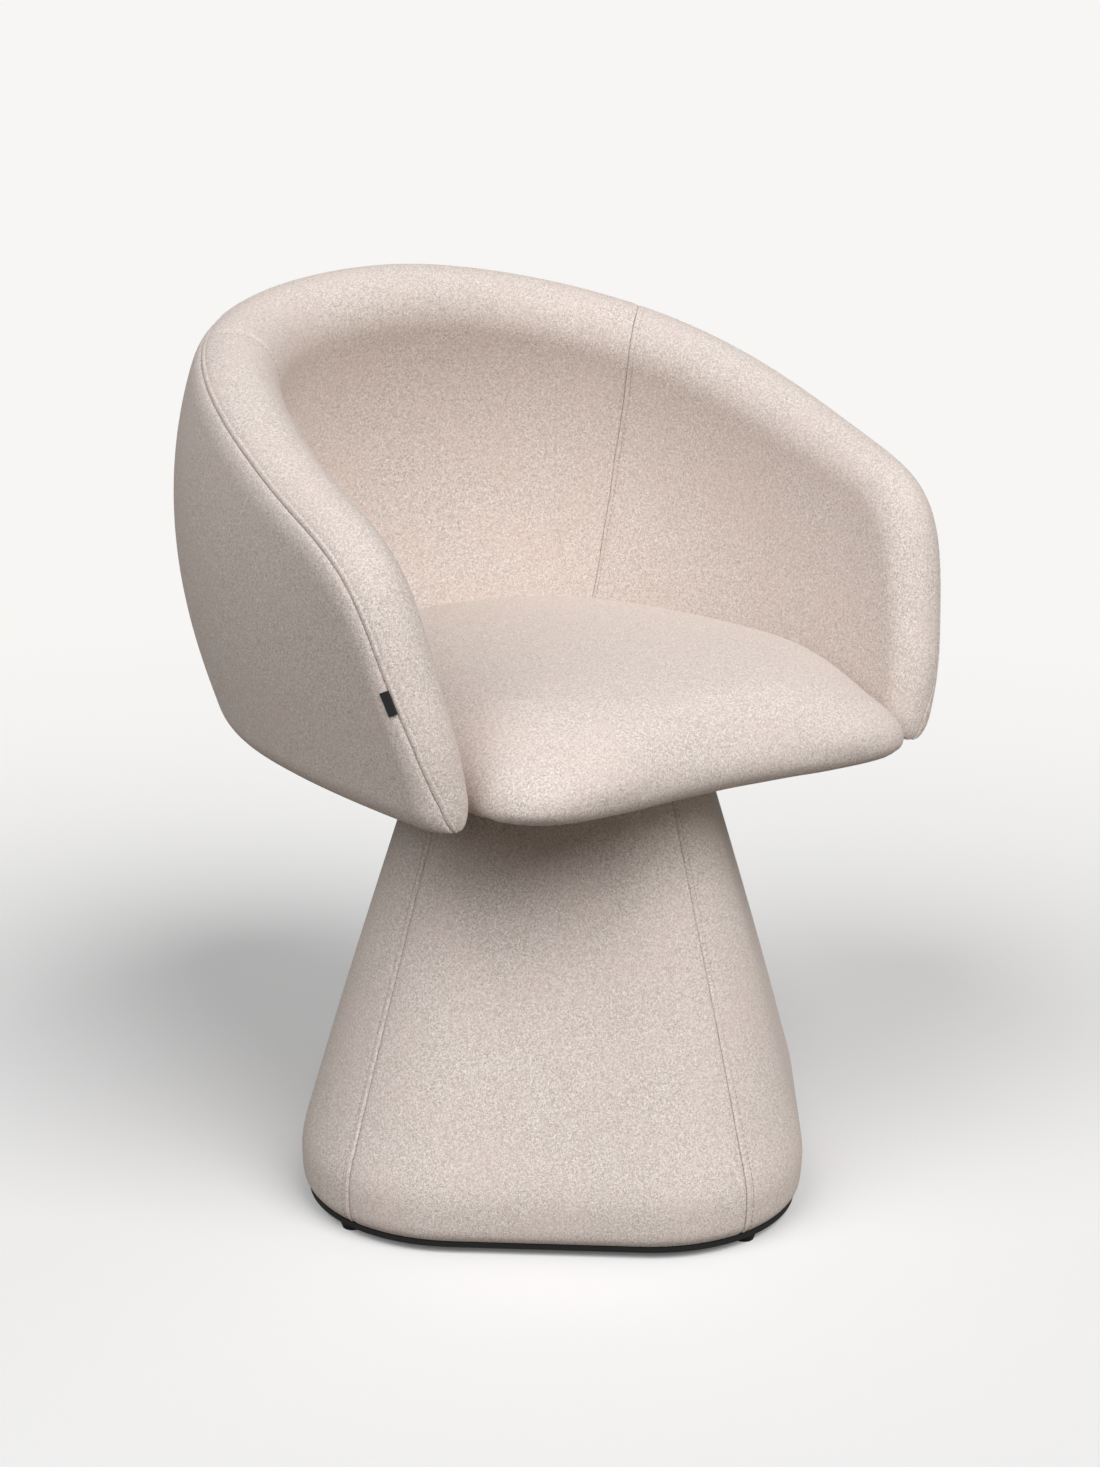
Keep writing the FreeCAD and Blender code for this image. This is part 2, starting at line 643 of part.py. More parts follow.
feature("base_shell", turned_base(base_shell(core_depth, core_depth + size("base_shell"), plate_top,
                                             top_board_bottom)))
board_blank = document.addObject("Part::Feature", "top_board_blank")
board_blank.Shape = turned_base(flare(core_depth, top_board_bottom, size("base_height")))
keep("top_board", cut("top_board", board_blank,
                      disc("top_board_bore", neck_bore, s + "top_board_thickness", top_board_low),
                      *discs("top_board_hole", s + "bolt_circle", bolt_hole, s + "top_board_thickness",
                             top_board_low)))
feature("base_padding", turned_base(base_shell(fabric + gap, core_depth - gap, plate_top + gap,
                                               size("base_height"))))
skin = base_shell(0, fabric, plate_top, size("base_height"))
seam_half = math.degrees(size("panel_gap") / size("base_half_width")) / 2
turn_to_side = 90 - size("panel_half_angle")
for name, facing, half_angle in (("front", 0, size("panel_half_angle")), ("right", 90, turn_to_side),
                                 ("back", 180, size("panel_half_angle")), ("left", 270, turn_to_side)):
    panel = skin.common(panel_sector(facing - half_angle + seam_half, facing + half_angle - seam_half))
    feature(f"base_cover_{name}", turned_base(panel))

# Swivel bearing: flanged housing with a bush, a pin that turns in it on a washer, held by a ring
housing = joined("housing_blank", disc("housing_flange", s + "flange_radius", s + "flange_thickness",
                                       s + "base_height"),
                 disc("housing_neck", s + "housing_radius", s + "housing_depth", housing_low))
keep("bearing_housing", cut("bearing_housing", housing,
                            disc("housing_bore", f"({pin_bore} + {s}bush_wall)", s + "housing_depth",
                                 housing_low),
                            *discs("housing_hole", s + "bolt_circle", bolt_hole, s + "flange_thickness",
                                   s + "base_height")))
keep("bearing_bush", ring("bearing_bush", f"({pin_bore} + {s}bush_wall)", pin_bore, s + "housing_depth",
                          housing_low))
keep("thrust_washer", ring("thrust_washer", s + "washer_radius", pin_bore, s + "washer_thickness",
                           housing_high))
fasteners("housing_bolts", s + "bolt_circle",
          [(s + "bolt_head_radius", s + "bolt_head_height", housing_high),
           (s + "bolt_radius", f"{housing_high} - {head_low} + {s}nut_height + {s}bolt_tail",
            f"{head_low} - {s}nut_height - {s}bolt_tail")])
nuts = [ring(f"housing_nut_{index}", s + "bolt_head_radius", s + "bolt_radius", s + "nut_height",
             f"{head_low} - {s}nut_height") for index in range(4)]
for nut, (x, y) in zip(nuts, around(s + "bolt_circle")):
    bind(nut, Placement__Base__x=x, Placement__Base__y=y)
keep("housing_nuts", group("housing_nuts", nuts))

ring_high = f"({housing_low} - {s}ring_play)"
ring_low = f"({ring_high} - {s}ring_thickness)"
pin_low = f"({ring_low} - {s}pin_tail)"
groove_radius = f"({s}pin_radius - {s}ring_groove_depth)"
pin = joined("pin_blank", disc("pin_shaft", s + "pin_radius", f"({carrier_low} - {pin_low})", pin_low),
             disc("pin_flange", s + "pin_flange_radius", f"({carrier_low} - {washer_high})", washer_high))
keep("swivel_pin", cut("swivel_pin", pin, ring("pin_groove", f"({s}pin_radius + {s}bore_play)", groove_radius,
                                               s + "ring_thickness", ring_low)))
keep("retaining_ring", ring("retaining_ring", s + "ring_radius", groove_radius, s + "ring_thickness",
                            ring_low))

# Carrier plate welded on the pin, bolted up into tee nuts in the seat board
carrier = document.addObject("Part::Feature", "carrier_blank")
carrier.Shape = prism(rounded_square(size("carrier_half_width"), size("carrier_corner_radius"),
                                     board_bottom - size("carrier_thickness")), size("carrier_thickness"))
keep("carrier_plate", cut("carrier_plate", carrier,
                          *discs("carrier_hole", s + "carrier_bolt_circle", bolt_hole,
                                 s + "carrier_thickness", carrier_low)))
tee_low = f"({seat_board_high} - {s}tee_nut_length)"
fasteners("carrier_bolts", s + "carrier_bolt_circle",
          [(s + "bolt_head_radius", s + "bolt_head_height", f"{carrier_low} - {s}bolt_head_height"),
           (s + "bolt_radius", f"{seat_board_high} - {s}bolt_tail - {carrier_low}", carrier_low)])
tees = []
for index, (x, y) in enumerate(around(s + "carrier_bolt_circle")):
    barrel = disc(f"tee_barrel_{index}", s + "tee_barrel_radius", s + "tee_nut_length", tee_low, x, y)
    flange = disc(f"tee_flange_{index}", s + "tee_flange_radius", s + "tee_flange",
                  f"{seat_board_high} - {s}tee_flange", x, y)
    bore = disc(f"tee_bore_{index}", s + "bolt_radius", s + "tee_nut_length", tee_low, x, y)
    tees.append(cut(f"tee_nut_{index}", joined(f"tee_blank_{index}", barrel, flange), bore))
keep("tee_nuts", group("tee_nuts", tees))

# Core of the band and the seat board, tied by screws driven in level through the core
frame_screws = []
frame_bores = []
for station in frame_screw_stations:
    spot = sections[station].level_point(board_bottom + size("board_thickness") / 2,
                                         core_half - size("screw_radius"))
    inward = Vector(-spot.x, -spot.y - size("axis_setback"), 0).normalize()
    frame_screws.append(Part.makeCylinder(size("screw_radius"), size("frame_screw_length"), spot, inward))
    frame_bores.append(Part.makeCylinder(size("screw_radius"), size("frame_screw_length") + core_half,
                                         spot - inward * core_half, inward))
feature("band_core", core_band(core_half).common(half_space(board_bottom)).cut(frame_bores))
feature("frame_screws", Part.makeCompound(frame_screws))
seat_blank = document.addObject("Part::Feature", "seat_board_blank")
seat_blank.Shape = prism(board_outline(size("board_clearance"), board_bottom),
                         size("board_thickness")).cut(frame_screws)
keep("seat_board", cut("seat_board", seat_blank,
                       *discs("tee_hole", s + "carrier_bolt_circle", s + "tee_barrel_radius",
                              s + "board_thickness", seat_board_low),
                       *discs("tee_sink", s + "carrier_bolt_circle", s + "tee_flange_radius",
                              s + "tee_flange", f"{seat_board_high} - {s}tee_flange")))

# Foam over the core and fabric over the foam; what lies inside the core stands on the seat board
room_low = underside - gap
room_height = board_top + gap - room_low
board_room = prism(board_outline(0, room_low), room_height)
lining_room = prism(board_outline(-size("core_thickness"), room_low), room_height)
block_side = 4 * size("side_reach")
below_board = Part.makeBox(block_side, block_side, block_side)
below_board.translate(Vector(-block_side / 2, -block_side / 2, board_bottom - block_side))
foam_depth = fabric + gap
spans = (("left_arm", -stations, -seam_station), ("back", -seam_station, seam_station),
         ("right_arm", seam_station, stations))
edge_outside = edge_trim(0)
foam_edge_outside = edge_trim(foam_depth)


def padding(section, outer, inner):
    return horseshoe(section, outer, core_half + gap)


for name, first, last in spans:
    foam = band(first, last, padding, foam_depth, foam_depth)
    feature(f"{name}_foam", foam.cut([lining_room, foam_edge_outside]))
    lining = band(first, last, inner_skin, 0, fabric)
    feature(f"{name}_lining", lining.cut([lining_room, below_board]))
for name, first, last in (("left", -stations, 0), ("right", 0, stations)):
    cover = band(first, last, outer_skin, 0, fabric)
    feature(f"{name}_outer_cover", cover.cut(edge_outside))
# The hem is the outer cover's edge, turned under the foam to the core
above_edge = half_space(underside + size("edge_rounding") + fabric)
hem = band(-stations, stations, slab, foam_depth)
feature("underside_hem", hem.cut([edge_outside, bowl(fabric), above_edge]))

# Dust cover under the seat board, with a window for the carrier plate
dust_inset = size("back_pad") / 2 + size("dust_cover_margin")
dust_low = board_bottom - gap - size("dust_cover_thickness")
window_half, window_corner = size("carrier_half_width") + gap, size("carrier_corner_radius") + gap
window = prism(rounded_square(window_half, window_corner, dust_low), size("dust_cover_thickness"))
feature("dust_cover", prism(board_outline(dust_inset, dust_low), size("dust_cover_thickness")).cut(window))

# Seat cushion: fabric sleeve over foam, seated on the board with its nose hanging over the board's front
cushion_foam = cushion(foam_depth)
feature("seat_foam", cushion_foam.cut(board_room))
feature("seat_cover", cushion(0).cut(cushion(fabric)).cut(board_room))

# Bare woven tag in the left arm's outer seam, laid along the seam between two slices
tag_spots, tag_centres = [], []
for station in tag_stations:
    section = sections[station]
    tag_turn = section.seam_angle + math.degrees(size("tag_width") / 2 / section.half)
    tag_spots.append(section.rim_point(tag_turn, section.half + size("tag_lift")))
    tag_centres.append(rim_middle(station))
tag_middle = blend(*tag_spots, tag_place_share)
tag_along = (tag_spots[0] - tag_spots[1]).normalize()
tag_across = (tag_middle - blend(*tag_centres, tag_place_share)).cross(tag_along).normalize()
tag_out = tag_along.cross(tag_across)
corner = tag_middle - tag_along * size("tag_length") / 2 - tag_across * size("tag_width") / 2
axes = FreeCAD.Matrix(tag_along.x, tag_across.x, tag_out.x, corner.x, tag_along.y, tag_across.y, tag_out.y,
                      corner.y, tag_along.z, tag_across.z, tag_out.z, corner.z, 0, 0, 0, 1)
tag = document.addObject("Part::Box", "seam_tag")
bind(tag, Length=s + "tag_length", Width=s + "tag_width", Height=s + "tag_thickness")
tag.Placement = Placement(axes)
keep("seam_tag", tag)

document.recompute()
faults = []
for item in document.Objects:
    if "Invalid" in item.State or "Error" in item.State:
        faults.append(item.Name)
for name, item in nodes.items():
    shape = item.Shape
    if shape.isNull() or not shape.isValid() or shape.Volume <= 0:
        faults.append(name)
if faults:
    raise RuntimeError("failed: " + ", ".join(faults))
os.makedirs("parts", exist_ok=True)
for name, item in nodes.items():
    item.Shape.exportStep(f"parts/{name}.step")
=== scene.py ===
import json
import math
import bpy
import numpy as np
from mathutils import Matrix, Vector
from mathutils.bvhtree import BVHTree


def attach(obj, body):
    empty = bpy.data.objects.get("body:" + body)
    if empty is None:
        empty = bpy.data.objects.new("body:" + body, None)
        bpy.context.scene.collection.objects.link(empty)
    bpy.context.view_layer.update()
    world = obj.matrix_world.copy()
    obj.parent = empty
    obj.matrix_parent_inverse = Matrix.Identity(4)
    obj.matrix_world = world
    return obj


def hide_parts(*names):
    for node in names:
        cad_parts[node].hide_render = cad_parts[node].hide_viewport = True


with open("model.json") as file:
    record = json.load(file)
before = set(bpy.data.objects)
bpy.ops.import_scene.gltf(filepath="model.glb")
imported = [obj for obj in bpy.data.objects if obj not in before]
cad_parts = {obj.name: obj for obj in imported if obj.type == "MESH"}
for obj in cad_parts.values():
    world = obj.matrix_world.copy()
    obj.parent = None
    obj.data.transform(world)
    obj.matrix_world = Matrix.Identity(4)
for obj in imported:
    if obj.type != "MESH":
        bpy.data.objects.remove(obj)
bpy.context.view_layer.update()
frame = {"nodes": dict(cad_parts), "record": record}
scene = bpy.context.scene
print("frame loaded:", len(frame["nodes"]), "nodes")


def srgb(code):
    # hex colour as linear red, green, blue and alpha
    parts = [int(code[i:i + 2], 16) / 255 for i in (1, 3, 5)]
    return [p / 12.92 if p <= 0.04045 else ((p + 0.055) / 1.055) ** 2.4 for p in parts] + [1]


def addNode(tree, kind, inputs=None, stops=None, **settings):
    # inputs gives each socket a value or another node's output, stops are a ramp's places and colours
    node = tree.nodes.new("ShaderNode" + kind)
    for name, value in settings.items():
        setattr(node, name, value)
    for socket, value in (inputs or {}).items():
        if isinstance(value, bpy.types.NodeSocket):
            tree.links.new(value, node.inputs[socket])
        else:
            node.inputs[socket].default_value = value
    if stops:
        elements = node.color_ramp.elements
        while len(elements) < len(stops):
            elements.new(0.5)
        for element, (position, colour) in zip(elements, stops):
            element.position = position
            element.color = srgb(colour)
    return node


def startMaterial(name):
    material = bpy.data.materials.new(name)
    material.use_nodes = True
    tree = material.node_tree
    return material, tree, tree.nodes["Principled BSDF"], addNode(tree, "TexCoord").outputs["Object"]


wool = {
    "fibreMm": 1.0,  # real fibres are far finer: drawn as coarse as the render can show
    "flockMm": 2.4, "patchMm": 60, "bumpMm": 0.35,
    "light": "#FBF4EE", "mid": "#E2D7CF", "dark": "#B4A79E", "thin": "#EAE6E2", "pink": "#DECAC2",
}


def fulledWool():
    # fulled wool cloth: a matt nap of light, grey and pinkish fibres that hides its weave
    material, tree, shader, place = startMaterial("fulledWoolCloth")
    fibres = addNode(tree, "TexNoise", {"Vector": place, "Scale": 1000 / wool["fibreMm"], "Detail": 3.0,
                                        "Roughness": 0.65})
    flocks = addNode(tree, "TexNoise", {"Vector": place, "Scale": 1000 / wool["flockMm"], "Detail": 2.0,
                                        "Roughness": 0.6})
    patches = addNode(tree, "TexNoise", {"Vector": place, "Scale": 1000 / wool["patchMm"], "Detail": 2.0})
    speckle = addNode(tree, "ValToRGB", {"Fac": fibres.outputs["Fac"]},
                      stops=[(0.34, wool["dark"]), (0.5, wool["mid"]), (0.66, wool["light"])])
    tone = addNode(tree, "ValToRGB", {"Fac": flocks.outputs["Fac"]},
                   stops=[(0.35, wool["thin"]), (0.62, "#FFFFFF")])
    mottled = addNode(tree, "Mix", {"Factor": 1.0, 6: speckle.outputs["Color"], 7: tone.outputs["Color"]},
                      data_type="RGBA", blend_type="MULTIPLY")
    blush = addNode(tree, "MapRange", {"Value": patches.outputs["Fac"], "From Min": 0.42, "From Max": 0.7,
                                       "To Min": 0.0, "To Max": 0.3})
    tinted = addNode(tree, "Mix", {"Factor": blush.outputs["Result"], 6: mottled.outputs[2],
                                   7: srgb(wool["pink"])}, data_type="RGBA")
    nap = addNode(tree, "Bump", {"Height": fibres.outputs["Fac"], "Strength": 0.5,
                                 "Distance": wool["bumpMm"] / 1000})
    tree.links.new(tinted.outputs[2], shader.inputs["Base Color"])
    tree.links.new(nap.outputs["Normal"], shader.inputs["Normal"])
    shader.inputs["Roughness"].default_value = 0.95
    shader.inputs["Specular IOR Level"].default_value = 0.2
    shader.inputs["Sheen Weight"].default_value = 0.12
    shader.inputs["Sheen Roughness"].default_value = 0.5
    shader.inputs["Sheen Tint"].default_value = srgb("#FFF6EE")
    return material


# thread tones: darker than the cloth as painted shade of the stitch dips, varied along the twist
thread = {"twistMm": 0.45, "light": "#C9BDB4", "dark": "#9C8F86"}


def spunThread():
    # twisted sewing thread: the cloth's own tone, darkened a touch as painted shade of the seam dip it lies
    # in, with a fibrous dull shine
    material, tree, shader, place = startMaterial("spunThread")
    twist = addNode(tree, "TexNoise", {"Vector": place, "Scale": 1000 / thread["twistMm"], "Detail": 2.0})
    colour = addNode(tree, "ValToRGB", {"Fac": twist.outputs["Fac"]},
                     stops=[(0.35, thread["dark"]), (0.65, thread["light"])])
    tree.links.new(colour.outputs["Color"], shader.inputs["Base Color"])
    shader.inputs["Roughness"].default_value = 0.75
    return material


def grainedFinish(name, light, dark, grainMm, roughness, metallic=0.0, bumpMm=0.05, stretch=(1, 1, 1)):
    # plain finish with a fine grain in colour, roughness and bump, for the parts under the cloth
    material, tree, shader, place = startMaterial(name)
    mapping = addNode(tree, "Mapping", {"Vector": place, "Scale": stretch})
    grain = addNode(tree, "TexNoise", {"Vector": mapping.outputs["Vector"], "Scale": 1000 / grainMm,
                                       "Detail": 4.0}).outputs["Fac"]
    colour = addNode(tree, "ValToRGB", {"Fac": grain}, stops=[(0.35, dark), (0.65, light)])
    dulled = addNode(tree, "MapRange", {"Value": grain, "To Min": roughness - 0.08,
                                        "To Max": roughness + 0.08})
    bump = addNode(tree, "Bump", {"Height": grain, "Strength": 0.4, "Distance": bumpMm / 1000})
    tree.links.new(colour.outputs["Color"], shader.inputs["Base Color"])
    tree.links.new(dulled.outputs["Result"], shader.inputs["Roughness"])
    tree.links.new(bump.outputs["Normal"], shader.inputs["Normal"])
    shader.inputs["Metallic"].default_value = metallic
    return material


finishes = {
    "felted_upholstery": fulledWool(),
    # cut polyurethane: pale yellow and quite dull, with open pores
    "upholstery_foam": grainedFinish("cutFoam", "#EFE6C6", "#D9CDA4", 1.2, 0.9),
    # raw birch: warm tan with long soft streaks
    "plywood": grainedFinish("birchPlywood", "#D8B888", "#B98F5E", 9, 0.6, stretch=(1, 6, 6)),
    # baked powder: near black with a fine orange peel that breaks up its shine
    "black_steel": grainedFinish("powderCoatedSteel", "#1C1C1E", "#101011", 0.5, 0.5, bumpMm=0.03),
    # pressed and oiled bronze: brownish gold, speckled with pores
    "bronze": grainedFinish("sinteredBronze", "#B5874F", "#8E6534", 0.6, 0.45, metallic=1.0),
    # moulded nylon: waxy off-white, and in black for the glides
    "washer_nylon": grainedFinish("naturalNylon", "#E2DFD3", "#D5D1C2", 3, 0.45),
    "glide_nylon": grainedFinish("blackNylon", "#1A1A1A", "#111111", 2, 0.5),
    # bonded fibre sheet: flat black with a fuzzy dimpled face
    "dust_cloth": grainedFinish("bondedDustCloth", "#1E1E1F", "#121213", 0.8, 0.9, bumpMm=0.1),
    # tightly woven ribbon: black with a faint sheen
    "tag_ribbon": grainedFinish("wovenRibbon", "#1B1B1F", "#101013", 0.6, 0.7, bumpMm=0.06),
    # bright zinc plate: light grey metal with a soft blurred mirror
    "zinc_steel": grainedFinish("zincPlatedSteel", "#C9CCCF", "#A9ADB1", 1.5, 0.35, metallic=1.0),
}
slots = {row["node"]: row["material_slot"] for row in frame["record"]["subparts"]}
for name, node in frame["nodes"].items():
    node.data.materials.clear()
    node.data.materials.append(finishes[slots[name]])
woolCloth = finishes["felted_upholstery"]
print("materials ready")


def mix(low, high, share):
    return low + (high - low) * share


def unit(vectors):
    return vectors / np.linalg.norm(vectors, axis=-1, keepdims=True)


def lengthsAlong(path):
    return np.concatenate([[0], np.cumsum(np.linalg.norm(np.diff(path, axis=0), axis=1))])


def smoothThrough(knots, values):
    # natural cubic spline, returned as a function
    knots, values = np.asarray(knots, float), np.asarray(values, float)
    step, count = np.diff(knots), len(knots)
    system, right = np.eye(count), np.zeros(count)
    for i in range(1, count - 1):
        system[i, i - 1:i + 2] = step[i - 1], 2 * (step[i - 1] + step[i]), step[i]
        right[i] = 6 * ((values[i + 1] - values[i]) / step[i] - (values[i] - values[i - 1]) / step[i - 1])
    bend = np.linalg.solve(system, right)

    def curve(at):
        i = np.clip(np.searchsorted(knots, at) - 1, 0, count - 2)
        a, b = (knots[i + 1] - at) / step[i], (at - knots[i]) / step[i]
        return (a * values[i] + b * values[i + 1]
                + ((a ** 3 - a) * bend[i] + (b ** 3 - b) * bend[i + 1]) * step[i] ** 2 / 6)
    return curve


def surfaceNormals(points):
    # unit normals of a grid of points, zero where the grid closes up
    normal = np.cross(np.gradient(points, axis=0), np.gradient(points, axis=1))
    return normal / np.maximum(np.linalg.norm(normal, axis=-1, keepdims=True), 1e-12)


def newPiece(name, vertices, faces, material):
    # the new piece is left as the only selected and active object
    mesh = bpy.data.meshes.new(name)
    mesh.from_pydata(vertices, [], faces)
    mesh.materials.append(material)
    piece = bpy.data.objects.new(name, mesh)
    scene.collection.objects.link(piece)
    bpy.ops.object.select_all(action="DESELECT")
    piece.select_set(True)
    bpy.context.view_layer.objects.active = piece
    return piece


def cleanActive(mergeWithin=0.0, turnOutwards=False):
    bpy.ops.object.mode_set(mode="EDIT")
    bpy.ops.mesh.select_all(action="SELECT")
    if mergeWithin:
        bpy.ops.mesh.remove_doubles(threshold=mergeWithin)
    if turnOutwards:
        bpy.ops.mesh.normals_make_consistent(inside=False)
    bpy.ops.object.mode_set(mode="OBJECT")


def applyModifier(piece, kind, **settings):
    modifier = piece.modifiers.new(kind.lower(), kind)
    for name, value in settings.items():
        setattr(modifier, name, value)
    bpy.ops.object.modifier_apply(modifier=modifier.name)


# the tub is a band: its middle surface, its rim and its thickness, in metres and degrees
tub = {
    "backHeight": 0.770, "tipHeight": 0.452, "underside": 0.396, "rootDrop": 0.030, "edgeRounding": 0.024,
    "sideReach": 0.277, "backReach": 0.365, "frontReach": 0.408, "setback": 0.052, "widestHeight": 0.614,
    "backPad": 0.080, "armPad": 0.071, "tipPad": 0.044, "planRoundness": 2.69,
    "lowerSide": 0.878, "lowerBack": 0.792, "lowerPower": 1.38,
    "upperSide": -0.206, "upperBack": -0.171, "upperPower": 1.6,
    "rimAngles": (0, 32, 62, 92, 106.2, 115.7), "rimHeights": (1, 0.928, 0.779, 0.6, 0.488, 0.19),
    "noseAngles": (1, 1.01, 1.012, 0.985), "noseHeights": (0, -0.66, -1.15, -1.5),
    "tipAngle": 119.5, "rootAngle": 100, "innerSeamShare": 0.255,
    # outer seam: share of the way to the tip, degrees from the rim's crest
    "seamShares": (0, 0.3, 0.35, 0.5, 0.62, 0.77, 0.83, 0.88, 0.91, 0.935, 0.96, 1),
    "seamAngles": (64, 64, 63, 58, 57, 56, 51.5, 46, 37, 24, 6, 0),
    # how far the inner seams lean to the sides going down: distance from the outer seam, share
    "leanAt": (0, 0.1, 0.2, 0.27, 0.35, 0.5), "leanBy": (0, 0.016, 0.022, 0.033, 0.056, 0.056),
    # how much closer the columns beside an inner seam stand lower down
    "narrowAt": (0, 0.35), "narrowBy": (1, 0.75),
    # how far the rounded lower edge is drawn in, as shares of half the thickness
    "insetShare": 0.55, "insetAlong": 0.4,
    "columns": 96, "innerRows": 66, "outerRows": 60, "hemShares": (0.33, 0.66, 1), "fill": 0.8,
}
seams = {
    "depth": 0.0008, "reach": 0.0019,
    "lapWidth": 0.0055, "lapRise": 0.0006, "lapEdge": 0.0006, "lapFade": 0.0016,
    "stitchDip": 0.0010, "stitchReach": 0.0009, "stitchLong": 0.0034, "stitchEvery": 0.0047,
    "threadRadius": 0.0004, "cloth": 0.002, "grooveWidth": 0.02, "mergeWithin": 0.00005,
}
# distances from a seam where the mesh has a line of points, in metres; the topstitch lies on the sixth
seamLines = np.array([0, 0.0007, 0.0016, 0.003, 0.0043, 0.0055, 0.0067, 0.009, 0.013])
stitchLine = 5


def middleOf(angle, height):
    # point of the band's middle surface, at an angle round the plan
    turn = np.radians(angle)
    back = np.where(np.cos(turn) >= 0, tub["backReach"], tub["frontReach"])
    power = tub["planRoundness"]
    reach = (np.abs(np.sin(turn) / tub["sideReach"]) ** power
             + np.abs(np.cos(turn) / back) ** power) ** (-1 / power)
    backness = np.maximum(np.cos(turn), 0) ** 2
    lower = mix(tub["lowerSide"], tub["lowerBack"], backness)
    upper = mix(tub["upperSide"], tub["upperBack"], backness)
    fall = np.maximum(tub["widestHeight"] - height, 0) / (tub["widestHeight"] - tub["underside"])
    rise = np.maximum(height - tub["widestHeight"], 0) / (tub["backHeight"] - tub["widestHeight"])
    reach = reach * (1 - (1 - lower) * fall ** tub["lowerPower"] + upper * rise ** tub["upperPower"])
    return np.stack([reach * np.sin(turn), reach * np.cos(turn) - tub["setback"],
                     height + 0 * turn], axis=-1)


def rimShape():
    # the rim drawn flat, as angle and height against the share of its length
    heights = [mix(tub["tipHeight"], tub["backHeight"], s) for s in tub["rimHeights"]]
    drop = tub["tipHeight"] - tub["underside"]
    angles = list(tub["rimAngles"]) + [tub["tipAngle"] * s for s in tub["noseAngles"]]
    heights += [tub["tipHeight"] + drop * s for s in tub["noseHeights"]]
    angles = [-a for a in angles[:0:-1]] + angles
    heights = heights[:0:-1] + heights
    across = np.radians(angles) * tub["sideReach"]
    knots = lengthsAlong(np.stack([across, heights], axis=-1))
    fine = np.linspace(0, knots[-1], 4001)
    x, z = smoothThrough(knots, across)(fine), smoothThrough(knots, heights)(fine)
    length = lengthsAlong(np.stack([x, z], axis=-1))
    return 2 * length / length[-1] - 1, np.degrees(x / tub["sideReach"]), z, length[-1]


rimShares, rimTurns, rimHeights, rimLength = rimShape()
padShape = smoothThrough((0, 0.5, 1), (tub["backPad"], tub["armPad"], tub["tipPad"]))


class Slices:
    # slices across the band, one for each share from -1 at the left tip to 1 at the right
    def __init__(self, shares):
        self.shares = shares = np.asarray(shares, float)
        rimTurn = np.interp(shares, rimShares, rimTurns)
        rimHeight = np.interp(shares, rimShares, rimHeights)
        rootTurn = shares * tub["rootAngle"]
        rootHeight = 0 * shares + tub["underside"] - tub["rootDrop"]
        self.half = padShape(np.abs(shares)) / 2
        self.root, crest = middleOf(rootTurn, rootHeight), middleOf(rimTurn, rimHeight)
        turn, height = (rootTurn + rimTurn) / 2, (rootHeight + rimHeight) / 2
        middle = middleOf(turn, height)
        across = middleOf(turn + 1, height) - middleOf(turn - 1, height)
        upward = middleOf(turn, height + 0.002) - middleOf(turn, height - 0.002)
        chord = crest - self.root
        self.length = np.linalg.norm(chord, axis=-1)
        self.along = unit(chord)
        outward = np.cross(upward, across)
        self.out = unit(outward - self.along * np.sum(outward * self.along, axis=-1, keepdims=True))
        bulge = np.maximum(np.sum((middle - self.root) * self.out, axis=-1), self.length / 1000)
        reach = np.sum((middle - self.root) * self.along, axis=-1)
        self.drop = (reach * (self.length - reach) - bulge ** 2) / (2 * bulge)
        self.radius = np.hypot(self.length / 2, self.drop)
        self.start = -np.arctan2(self.length / 2, self.drop)
        self.end = -self.start - self.half / self.radius
        self.outerLong = (self.radius + self.half) * (self.end - self.start)
        self.rimLong = math.pi * self.half
        self.innerLong = (self.radius - self.half) * (self.end - self.start)

    def place(self, turn, offset):
        # point on the slice's arc, at a distance from the middle surface
        along = self.length / 2 + (self.radius + offset) * np.sin(turn)
        out = (self.radius + offset) * np.cos(turn) - self.drop
        return self.root + self.along * along[:, None] + self.out * out[:, None]

    def profile(self, distance):
        # point at a distance along the cloth, from the outer root over the rim to the inner root
        distance = np.asarray(distance, float)
        onOuter = self.place(self.start + distance / (self.radius + self.half), self.half)
        turn = math.pi / 2 - (distance - self.outerLong) / self.half
        centre = self.place(self.end, 0 * self.half)
        outward = self.along * np.sin(self.end)[:, None] + self.out * np.cos(self.end)[:, None]
        onward = self.along * np.cos(self.end)[:, None] - self.out * np.sin(self.end)[:, None]
        onRim = centre + (outward * np.sin(turn)[:, None]
                          + onward * np.cos(turn)[:, None]) * self.half[:, None]
        inner = distance - self.outerLong - self.rimLong
        onInner = self.place(self.end - inner / (self.radius - self.half), -self.half)
        point = np.where((distance < self.outerLong)[:, None], onOuter, onRim)
        return np.where((inner > 0)[:, None], onInner, point)

    def seamDistance(self):
        turn = np.radians(np.interp(np.abs(self.shares), tub["seamShares"], tub["seamAngles"]))
        return self.outerLong + (math.pi / 2 - turn) * self.half

    def levelPoint(self, height, offset):
        # where a face of the band passes a height
        radius = self.radius + offset
        rise, lean = radius * self.along[:, 2], radius * self.out[:, 2]
        wanted = height - self.root[:, 2] - self.along[:, 2] * self.length / 2 + self.out[:, 2] * self.drop
        turn = np.arcsin(np.clip(wanted / np.hypot(rise, lean), -1, 1)) - np.arctan2(lean, rise)
        return self.place(turn, offset)


